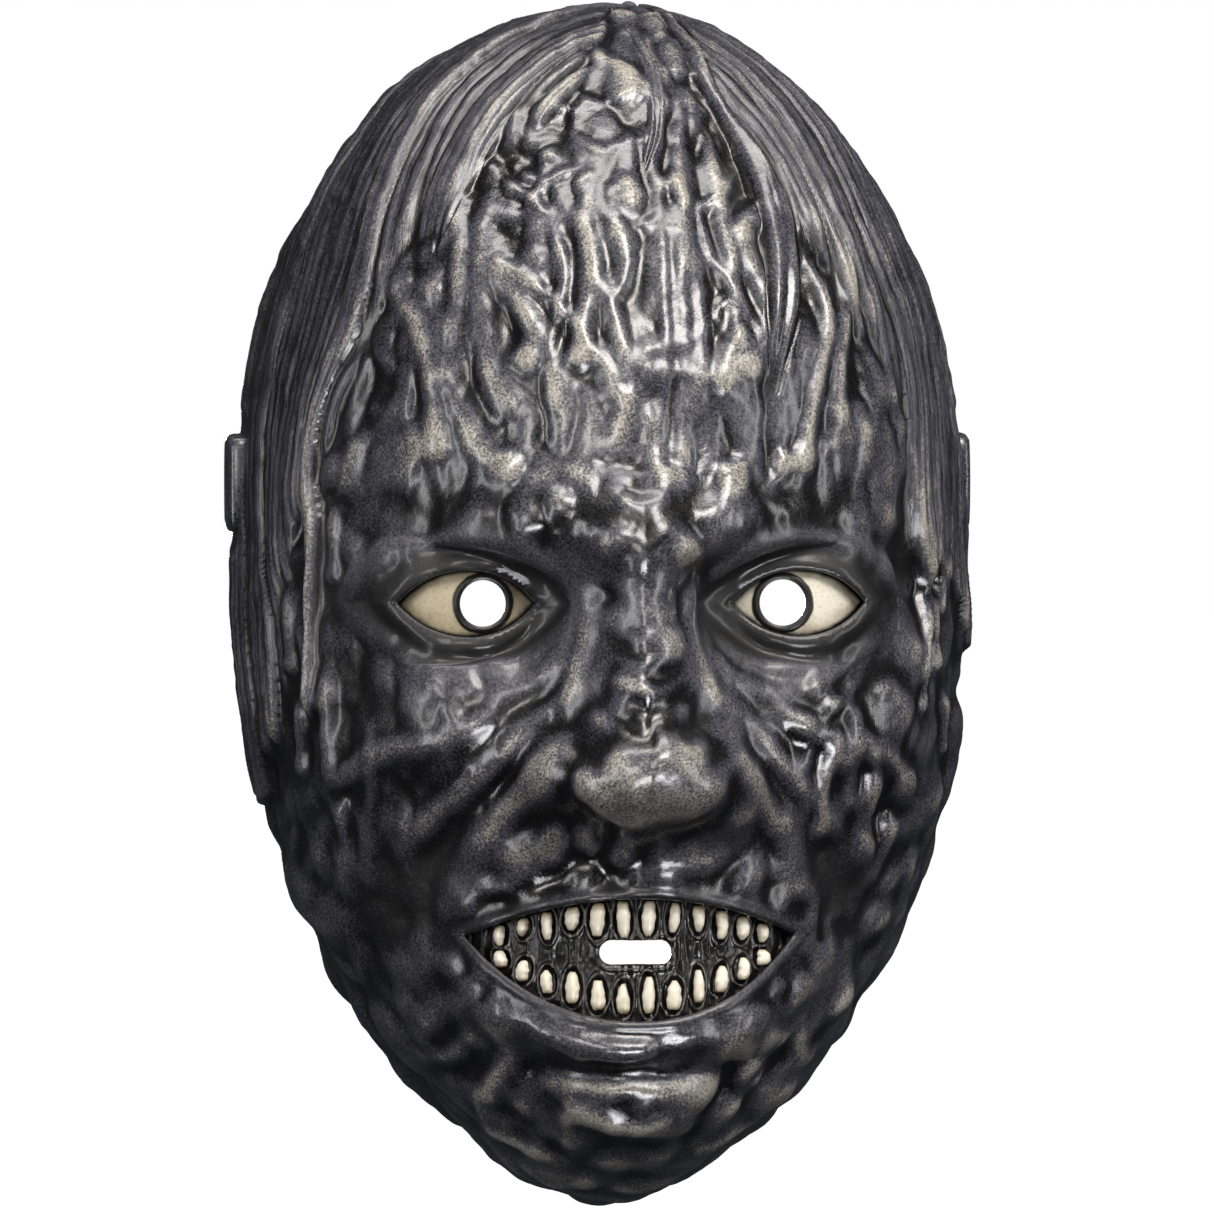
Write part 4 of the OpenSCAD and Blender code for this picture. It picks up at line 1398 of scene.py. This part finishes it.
# ---------------------------------------------------------------- eyes, gums and teeth
def make_eye(side, name, node, material):
    """One eye cup: a rounded cream bowl with a pupil hole and a soft rim."""
    turns = np.linspace(0, 2 * np.pi, 180, endpoint=False)
    cos, sin = np.cos(turns), np.sin(turns)
    off = PUPIL_X - EYE_X
    reach = -off * cos + np.sqrt(CUP_LIMIT**2 - (off * sin) ** 2)
    rings = []

    def ring(share, lift, radius=CUP_RADIUS):
        r = PUPIL_RADIUS + (reach - PUPIL_RADIUS) * share
        x, z = off + r * cos, r * sin
        y = -(EYE_DEPTH + np.sqrt(np.maximum(0, radius**2 - x**2 - z**2)))
        rings.append(stack(side * (EYE_X + x), y - lift, z))

    shares = np.linspace(0, 1, 70) ** 1.15
    for share in shares[::-1]:
        from_edge = (reach.mean() - PUPIL_RADIUS) * share
        lip = 0.32 * math.exp(-(((from_edge - 0.9) / 0.7) ** 2))
        ring(share, lip - 0.12 * math.exp(-((from_edge / 0.35) ** 2)))
    front_points = len(rings) * len(turns)
    ring(0.0, -0.7)
    ring(0.004, -1.3)
    for share in np.linspace(0.01, 1, 24):
        ring(share, 0.0, CUP_RADIUS - CUP_WALL)
    points, quads = loft(rings, closed_path=True)
    if side > 0:
        quads = quads[:, ::-1]
    from_pupil = np.hypot(points[:, 0] - side * PUPIL_X, points[:, 2]) - PUPIL_RADIUS
    from_pupil[front_points:] = 0
    from_lids = -eye_gap(points[:, 0], points[:, 2], side)
    attributes = {"from_pupil": from_pupil, "from_lids": from_lids}
    obj = mesh_from(name, points, quads, attributes=attributes)
    obj.data.materials.append(material)
    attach(obj, "mask")
    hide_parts(node)


def tooth_list():
    """Each tooth: row, angle on the gum, top and bottom height, half width and lean."""
    rng = np.random.default_rng(31)
    teeth = []
    for k in range(-TEETH_PER_ROW // 2, TEETH_PER_ROW // 2):
        angle = (k + 0.5) * TOOTH_PITCH
        x2 = (GUM_RADIUS * math.sin(angle)) ** 2
        top = -63.9 - 0.0072 * x2
        length = (8.2 - 0.0048 * x2) * rng.uniform(0.68, 1.0)
        half, lean = rng.uniform(1.1, 1.6), rng.uniform(-0.1, 0.1)
        teeth.append(("upper", angle, top, top - length, half, lean))
        bottom = -88.2 + 0.0125 * x2
        length = (9.0 - 0.0062 * x2) * rng.uniform(0.7, 1.0)
        half, lean = rng.uniform(1.15, 1.7), rng.uniform(-0.1, 0.1)
        teeth.append(("lower", angle, bottom + length, bottom, half, lean))
    return teeth


def on_gum(angle, rise, z):
    """A point on the gum plate: angle round its axis, rise above it, height."""
    r = GUM_RADIUS + rise
    return stack(r * np.sin(angle), GUM_AXIS_Y - r * np.cos(angle), z)


def tooth_rings(angle, top, bottom, half, lean, tip_down, jitter):
    """A tooth's rings from its top to its bottom, closed at both ends, and how near its root or
    worn tip each one is."""
    turns = np.linspace(0, 2 * np.pi, 30, endpoint=False)
    rings, marks = [], []
    for s in np.linspace(0, 1, 26):
        inward = math.sin(math.pi * (0.03 + 0.94 * s))
        toward_tip = s if tip_down else 1 - s
        share = inward ** (0.28 + (0.14 + 0.2 * jitter[2]) * smooth_step(0.5, 0.95, toward_tip))
        ripple = 0.10 * jitter[0] * math.cos(6 * s + 3 * jitter[1])
        ripple += 0.05 * math.cos(17 * s + 9 * jitter[3])
        width = half * share * (1.0 + ripple - 0.24 * (toward_tip - 0.4))
        z = top - s * (top - bottom)
        bend = 0.22 * jitter[3] * math.sin(math.pi * s + jitter[2])
        across = width * np.cos(turns) + lean * (z - (top + bottom) / 2) + bend
        outward = 1.55 * share**0.9 * np.sin(turns)
        facets = 1 - 0.18 * np.cos(turns * 3) * 0.3
        outward = np.where(outward > 0, outward * facets, outward * 0.6)
        rise = 0.75 + outward + 0.35 * math.sin(math.pi * s)
        rings.append(on_gum(angle + across / GUM_RADIUS, rise, z))
        mark = max(0.0, 1 - toward_tip * 4.2) * 0.7 + max(0.0, toward_tip - 0.9) * 3
        marks.append(np.full(len(turns), mark))
    caps = [np.repeat(end.mean(axis=0)[None], len(end), axis=0) for end in (rings[0], rings[-1])]
    return [caps[0], *rings, caps[1]], [marks[0], *marks, marks[-1]]


def make_teeth(teeth, material):
    """Both rows of teeth, each row one mesh."""
    rng = np.random.default_rng(32)
    for row, node in (("upper", "teeth_upper"), ("lower", "teeth_lower")):
        parts, faces, roots = [], [], []
        count = 0
        for kind, *tooth in teeth:
            if kind != row:
                continue
            rings, root = tooth_rings(*tooth, row == "upper", rng.uniform(-1, 1, 4))
            points, quads = loft(rings)
            parts.append(points)
            faces.append(quads + count)
            roots += root
            count += len(points)
        points = np.vstack(parts)
        points = points + 0.05 * stack(*(noise(points, seed) for seed in (41, 42, 43)))
        attributes = {"root": np.concatenate(roots)}
        obj = mesh_from(f"teeth_{row}_row", points, np.vstack(faces), attributes=attributes)
        weld = obj.modifiers.new("Weld", "WELD")
        weld.merge_threshold = 0.00001
        obj.data.materials.append(material)
        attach(obj, "mask")
        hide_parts(node)


def make_gums(teeth, material):
    """The gum plate: a curved black plate with a socket round each tooth and a breathing slot."""
    wide, tall = ((420, 190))
    a, b = np.meshgrid(np.linspace(-1, 1, wide + 1), np.linspace(0, 1, tall + 1), indexing="ij")
    angle = a * (math.asin(GUM_HALF_WIDTH / GUM_RADIUS) - 0.01)
    x = GUM_RADIUS * np.sin(angle)
    top = MOUTH_UPPER_Z + np.sqrt((MOUTH_UPPER_ARC + GUM_MARGIN) ** 2 - x**2)
    bottom = MOUTH_LOWER_Z - np.sqrt((MOUTH_LOWER_ARC + GUM_MARGIN) ** 2 - x**2)
    z = bottom + (top - bottom) * b
    relief = 0.25 * layered_noise(stack(angle * GUM_RADIUS / 3.2, z / 5), 3, 51)
    folds = np.abs(noise(stack(angle * GUM_RADIUS / 1.9, z / 9), 61))
    relief += 0.45 * (1 - folds) ** 2
    for _, at, high, low, half, lean in teeth:
        across = (angle - at) * GUM_RADIUS - lean * (z - (high + low) / 2)
        middle, half_z = (high + low) / 2, (high - low) / 2
        d = np.hypot(across / (half + 0.55), (z - middle) / (half_z + 0.6))
        relief += 0.55 * np.exp(-(((d - 1.22) / 0.16) ** 2)) - 0.55 * np.exp(-((d / 0.95) ** 6))
    relief += 0.45 * np.exp(-(((slot_gap(x, z) - 0.9) / 0.7) ** 2))
    relief *= smooth_step(0, 0.05, b) * smooth_step(1, 0.95, b)
    relief = np.clip(relief, -0.7, 1.0)

    picked = np.ix_(*(np.linspace(0, n, n // 3 + 1).round().astype(int) for n in (wide, tall)))
    back = on_gum(angle, -GUM_WALL, z)[picked]
    front = on_gum(angle, relief - 0.15, z).reshape(-1, 3)
    plate = Plate(front, relief.shape, back.reshape(-1, 3), back.shape[:2])
    centre, half = (0.0, MOUTH_Z), (8.0, SLOT_RADIUS)
    edges = plate.cut(slot_measure, 0.2, centre, half)
    plate.line_hole(edges, centre, half, ((0.15, 0.2), (0.18, 1.0)))

    def facing(p):
        return stack(p[:, 0], 0.0, p[:, 2] - MOUTH_Z)

    half = (GUM_HALF_WIDTH, 18.0)
    plate.strips.append(([plate.borders[0]], plate.borders[1], centre, half, facing))
    points, parts = plate.build()
    # Lighter on the socket rims and raised folds, darker in the hollows: dry-brush as well as
    # painted highlight and painted shade.
    mark = np.clip(0.5 + 0.9 * (relief - blur(relief, 3)), 0, 1)
    attributes = {"high": over_front(mark, len(points), 0.3)}
    obj = mesh_from("gums", points, np.vstack(parts), attributes=attributes)
    obj.data.materials.append(material)
    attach(obj, "mask")
    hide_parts("gum_plate")


def slot_gap(x, z):
    """Distance outside the breathing slot, negative inside it."""
    beyond = np.maximum(np.abs(x) - SLOT_HALF_STRAIGHT, 0)
    return np.hypot(beyond, z - MOUTH_Z) - SLOT_RADIUS


def slot_measure(points):
    """Distance outside the breathing slot and the direction away from it."""
    x, z = points[:, 0], points[:, 2]
    side = np.clip(x, -SLOT_HALF_STRAIGHT, SLOT_HALF_STRAIGHT)
    return slot_gap(x, z), unit(stack(x - side, 0.0, z - MOUTH_Z))


# ---------------------------------------------------------------- pads, strap and small parts
def make_pad(name, node, place, size, side, material):
    """An oval foam pad on the inside of the skin, with a rolled edge."""
    a, b = square_grid(44)
    p, q = a * np.sqrt(1 - b * b / 2), b * np.sqrt(1 - a * a / 2)
    r = np.hypot(p, q)
    u, v = place[0] + size[0] * p, place[1] + size[1] * q
    centre = skin_points(u, v)[0]
    step = 0.002
    across = skin_points(u + step, v)[0] - skin_points(u - step, v)[0]
    up = skin_points(u, v + step)[0] - skin_points(u, v - step)[0]
    normal = unit(np.cross(across, up))
    thick = PAD_THICK * (0.35 + 0.65 * np.sqrt(np.clip(1 - r**5, 0, 1)))
    wrinkle = 0.25 * layered_noise(centre / 5, 2, 95)
    top = WALL + PAD_GAP
    outer = centre - normal * (top + 0.6 * smooth_step(0.9, 1.0, r))[..., None]
    inner = centre - normal * (top + thick + wrinkle * (1 - r**4))[..., None]
    points = np.vstack([outer.reshape(-1, 3), inner.reshape(-1, 3)])
    grid = grid_triangles(*r.shape)
    border = grid_border(*r.shape)
    border_next = np.roll(border, -1)
    triangles = np.vstack([
        grid, grid[:, ::-1] + r.size,
        np.stack([border, border_next + r.size, border_next], 1),
        np.stack([border, border + r.size, border_next + r.size], 1),
    ])
    points[:, 0] *= side
    if side < 0:
        triangles = triangles[:, ::-1]
    obj = mesh_from(name, points, triangles)
    obj.data.materials.append(material)
    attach(obj, "mask")
    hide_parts(node)


def arc(centre, radius, start, end, count):
    """Points on part of a circle, between two turns in degrees."""
    turns = np.radians(np.linspace(start, end, count))
    return [(centre[0] + radius * math.cos(t), centre[1] + radius * math.sin(t)) for t in turns]


def ribbon(name, path, z_mid, material):
    """A flat strap that stands on edge along a path in X and Y, with rolled edges."""
    path = np.array(path, float)
    tangent = np.gradient(path, axis=0)
    tangent /= np.linalg.norm(tangent, axis=1, keepdims=True)
    normal = np.stack([-tangent[:, 1], tangent[:, 0]], 1)
    length = np.concatenate([[0], np.cumsum(np.linalg.norm(np.diff(path, axis=0), axis=1))])
    half_w, half_t = STRAP_WIDTH / 2, STRAP_THICK / 2
    section = []
    for s in np.linspace(-1, 1, 25):
        edge = max(0.0, (abs(s) * half_w - (half_w - half_t)) / half_t)
        bulge = math.sqrt(max(0.0, 1 - edge * edge)) * half_t
        rib = 0.09 if abs(s) > 0.8 and edge == 0 else 0.0
        section.append((s * half_w, max(bulge, 0.12) + rib))
    outline = section + [(z, -t) for z, t in section[::-1]]
    rings = [
        [(p[0] + n[0] * t, p[1] + n[1] * t, z_mid + z) for z, t in outline]
        for p, n in zip(path, normal)
    ]
    attributes = {
        "along": np.repeat(length, len(outline)),
        "across": np.tile([z for z, _ in outline], len(path)),
    }
    points, quads = loft(rings)
    last, cap = len(section) - 1, len(outline)
    ends = np.array([
        (base + k, base + k + 1, base + cap - 2 - k, base + cap - 1 - k)
        for base in (0, (len(path) - 1) * cap) for k in range(last)
    ])
    ends[last:] = ends[last:, ::-1]
    obj = mesh_from(name, points, np.vstack([quads, ends]), attributes=attributes)
    fix_outside(obj)
    obj.data.materials.append(material)
    return obj


def fix_outside(obj):
    """Turns every face of a closed mesh outward."""
    made = bmesh.new()
    made.from_mesh(obj.data)
    bmesh.ops.recalc_face_normals(made, faces=made.faces)
    made.to_mesh(obj.data)
    made.free()


def make_strap(elastic, thread):
    """The elastic strap from lug to lug with its sewn tail, the loose return and the stitches."""
    low, high = (np.array(c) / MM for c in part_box("strap_band"))
    slider_low, slider_high = (np.array(c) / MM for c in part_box("strap_slider"))
    loop_low, loop_high = (np.array(c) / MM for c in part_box("anchor_loop_left"))
    bar_x = (loop_low[0] + loop_high[0]) / 2
    bar_y = loop_high[1] - 1.0
    z_mid = (low[2] + high[2]) / 2
    back = high[1]
    leg_end = back - STRAP_TURN
    outer = bar_x + STRAP_WRAP
    inner_x = bar_x - STRAP_WRAP
    tail_x = outer - STRAP_THICK
    centre = (outer + STRAP_THICK / 2 - STRAP_TURN, leg_end)
    left = arc((bar_x, bar_y), STRAP_WRAP, 180, 360, 15)
    left += [(outer, y) for y in np.linspace(bar_y + 1, leg_end - 1, 40)]
    left += arc(centre, STRAP_TURN - STRAP_THICK / 2, 0, 90, 26)
    across = np.linspace(centre[0] - 2, 2 - centre[0], 30)
    middle = [(x, back - STRAP_THICK / 2) for x in across]
    right = [(-x, y) for x, y in left[::-1]]
    tail = [(-inner_x, y) for y in np.linspace(bar_y + 1, 15, 6)]
    step = tail_x - bar_x + STRAP_WRAP
    tail += [(-(inner_x + step * s), 16 + 8 * s) for s in (0.1, 0.3, 0.5, 0.7, 0.9)]
    tail += [(-tail_x + 0.04, y) for y in np.linspace(24.5, TAIL_END, 14)]
    band = ribbon("strap_elastic_band", left + middle + right + tail, z_mid, elastic)
    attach(band, "strap")
    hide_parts("strap_band")
    path = [(inner_x, y) for y in np.linspace(bar_y - 0.05, slider_high[1] + 6, 60)]
    loose = ribbon("strap_elastic_return", path, z_mid, elastic)
    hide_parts("strap_return")
    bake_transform(loose)
    make_stitches(outer, tail_x, z_mid, thread)


def make_stitches(outer, tail_x, z_mid, thread):
    """A sewn box with a cross through the doubled end of the strap, on both of its faces."""
    y0, y1 = STITCH_BOX_Y
    z0, z1 = z_mid - STITCH_BOX_HALF_Z, z_mid + STITCH_BOX_HALF_Z
    runs = [
        ((y0, z0), (y1, z0)), ((y1, z0), (y1, z1)), ((y1, z1), (y0, z1)),
        ((y0, z1), (y0, z0)), ((y0, z0), (y1, z1)), ((y0, z1), (y1, z0)),
    ]
    turns = np.linspace(0, 2 * math.pi, 8, endpoint=False)
    ends = np.array([(3, 2, 1, 0), (0, 3, 4, 7), (7, 4, 5, 6)])
    parts, quads, count = [], [], 0
    for x in (-(outer + STRAP_THICK / 2 + 0.05), -(tail_x - STRAP_THICK / 2 - 0.1)):
        for (ya, za), (yb, zb) in runs:
            length = math.hypot(yb - ya, zb - za)
            dy, dz = (yb - ya) / length, (zb - za) / length
            number = max(2, int(length / STITCH_PITCH))
            for k in range(number):
                s0, s1 = (k + 0.12) / number, (k + 0.82) / number
                rings = []
                for s in np.linspace(0, 1, 7):
                    t = s0 + (s1 - s0) * s
                    y, z = ya + (yb - ya) * t, za + (zb - za) * t
                    fat = STITCH_RADIUS * math.sin(math.pi * (0.08 + 0.84 * s)) ** 0.5
                    rings.append([
                        (
                            x + fat * 0.8 * math.cos(a), y - dz * fat * math.sin(a),
                            z + dy * fat * math.sin(a),
                        )
                        for a in turns
                    ])
                points, sides = loft(rings)
                parts.append(points)
                quads += [sides + count, ends + count, 6 * 8 + ends + count]
                count += len(points)
    obj = mesh_from("strap_stitches", np.vstack(parts), np.vstack(quads))
    fix_outside(obj)
    obj.data.materials.append(thread)
    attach(obj, "strap")


def finish_node(node, material, width, segments=3):
    """Keeps a CAD piece, softens its edges and gives it its material."""
    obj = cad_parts[node]
    obj.data.materials.clear()
    obj.data.materials.append(material)
    bevel = obj.modifiers.new("soft edges", "BEVEL")
    bevel.width = width * MM
    bevel.segments = segments
    bevel.limit_method = "ANGLE"
    bevel.angle_limit = math.radians(40)
    bevel.harden_normals = False


# ---------------------------------------------------------------- studio
def area_light(name, place, size, power, aim=(0, -0.05, 0), colour=(1, 1, 1)):
    """A rectangular light, turned toward its aim."""
    data = bpy.data.lights.new(name, "AREA")
    data.shape = "RECTANGLE"
    data.size, data.size_y = size
    data.energy = power
    data.color = colour
    obj = bpy.data.objects.new(name, data)
    obj.location = place
    obj.rotation_euler = (Vector(aim) - Vector(place)).to_track_quat("-Z", "Y").to_euler()
    bpy.context.scene.collection.objects.link(obj)


def make_camera():
    """A long lens that frames the height of the face, a little from its right."""
    face_low, face_high = (Vector(c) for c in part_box("face_shell"))
    height = face_high.z - face_low.z
    middle = (face_low + face_high) / 2
    aim = Vector((middle.x, face_low.y * 0.25, middle.z))
    azimuth, elevation = math.radians(CAMERA_AZIMUTH), math.radians(CAMERA_ELEVATION)
    level = math.cos(elevation)
    away = Vector((math.sin(azimuth) * level, -math.cos(azimuth) * level, math.sin(elevation)))
    data = bpy.data.cameras.new("camera")
    data.sensor_width = SENSOR_WIDTH
    data.lens = SENSOR_WIDTH * CAMERA_DISTANCE / (height * CAMERA_MARGIN)
    camera = bpy.data.objects.new("camera", data)
    camera.location = aim + away * CAMERA_DISTANCE
    camera.rotation_euler = (-away).to_track_quat("-Z", "Y").to_euler()
    bpy.context.scene.collection.objects.link(camera)
    bpy.context.scene.camera = camera


def make_floor():
    """A wide pale disc far below the mask."""
    turns = np.linspace(0, 2 * math.pi, 64, endpoint=False)
    points, quads = loft([
        [(r * math.cos(t), r * math.sin(t), FLOOR_Z) for t in turns] for r in FLOOR_RINGS
    ])
    floor = mesh_from("floor", points, quads)
    p = Paint("pale_floor")
    colour = p.ramp(p.noise(8, 2), [(0.0, (0.90, 0.90, 0.90)), (1.0, (0.94, 0.94, 0.94))])
    floor.data.materials.append(p.finish(colour, 0.9, Emission_Strength=1.0))
    p.surface.inputs["Emission Color"].default_value = (1, 1, 1, 1)
    floor.visible_glossy = False
    floor.visible_diffuse = False


def make_world():
    """White behind the mask, with a faint cool light all round."""
    world = bpy.data.worlds.new("studio")
    bpy.context.scene.world = world
    world.use_nodes = True
    tree = world.node_tree
    back = tree.nodes["Background"]
    seen = tree.nodes.new("ShaderNodeBackground")
    seen.inputs["Color"].default_value = (1, 1, 1, 1)
    seen.inputs["Strength"].default_value = 1.0
    back.inputs["Color"].default_value = (0.80, 0.86, 1.0, 1)
    back.inputs["Strength"].default_value = 0.04
    path = tree.nodes.new("ShaderNodeLightPath")
    mix = tree.nodes.new("ShaderNodeMixShader")
    tree.links.new(path.outputs["Is Camera Ray"], mix.inputs["Fac"])
    tree.links.new(back.outputs[0], mix.inputs[1])
    tree.links.new(seen.outputs[0], mix.inputs[2])
    tree.links.new(mix.outputs[0], tree.nodes["World Output"].inputs["Surface"])


def make_lights():
    """Studio lights in front, above and below, strips at both sides and a fill behind."""
    warm = (1.0, 0.96, 0.92)
    area_light("key", (0.4, -1.35, 1.2), (0.8, 0.6), 30, colour=warm)
    area_light("top", (0.0, -0.45, 1.5), (1.2, 0.35), 16, colour=warm)
    area_light("front", (-0.7, -2.1, 0.4), (0.5, 0.6), 12, colour=warm)
    area_light("low", (0.3, -1.6, -0.9), (0.8, 0.5), 33, colour=(0.97, 0.97, 1.0))
    area_light("left_strip", (-1.3, -0.9, 0.0), (0.15, 1.2), 8)
    area_light("right_strip", (1.2, -0.8, 0.0), (0.18, 1.2), 6)
    area_light("back_fill", (0.0, 1.1, 0.0), (0.14, 0.2), 26)


# ---------------------------------------------------------------- the whole mask
def build():
    """Every piece of the mask, with its material."""
    skin = skin_paint()
    face = make_face(skin)
    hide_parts("face_shell")
    make_lugs(skin)
    # The right eye's cream is darker than the left's: painted shade on the -X side of the face.
    right_eye_shaded = eye_paint("eye_enamel_right_shaded", (0.50, 0.43, 0.29), (0.13, 0.10, 0.06))
    left_eye = eye_paint("eye_enamel_left", (0.80, 0.75, 0.62), (0.28, 0.23, 0.15))
    make_eye(1, "eye_left", "eye_cup_left", left_eye)
    make_eye(-1, "eye_right", "eye_cup_right", right_eye_shaded)
    teeth = tooth_list()
    make_gums(teeth, gum_paint())
    make_teeth(teeth, tooth_paint())
    foam = foam_paint()
    make_pad("foam_forehead", "forehead_pad", (0, 0.37), (0.27, 0.09), 1, foam)
    make_pad("foam_cheek_left", "cheek_pad_left", (0.5, -0.168), (0.1, 0.08), 1, foam)
    make_pad("foam_cheek_right", "cheek_pad_right", (0.5, -0.168), (0.1, 0.08), -1, foam)
    make_strap(elastic_paint(), thread_paint())
    plastic = plastic_paint()
    rivet = metal_paint("rivet_steel", (0.30, 0.30, 0.32), (0.10, 0.09, 0.08))
    washer = metal_paint("washer_steel", (0.55, 0.55, 0.57), (0.30, 0.28, 0.25))
    for side in ("left", "right"):
        finish_node(f"anchor_loop_{side}", plastic, 0.35)
        finish_node(f"strap_rivet_{side}", rivet, 0.3)
        finish_node(f"rivet_washer_{side}", washer, 0.2)
    finish_node("strap_slider", plastic, 0.4)


make_camera()
make_world()
make_floor()
make_lights()
build()
bpy.context.scene.view_settings.view_transform = "Standard"
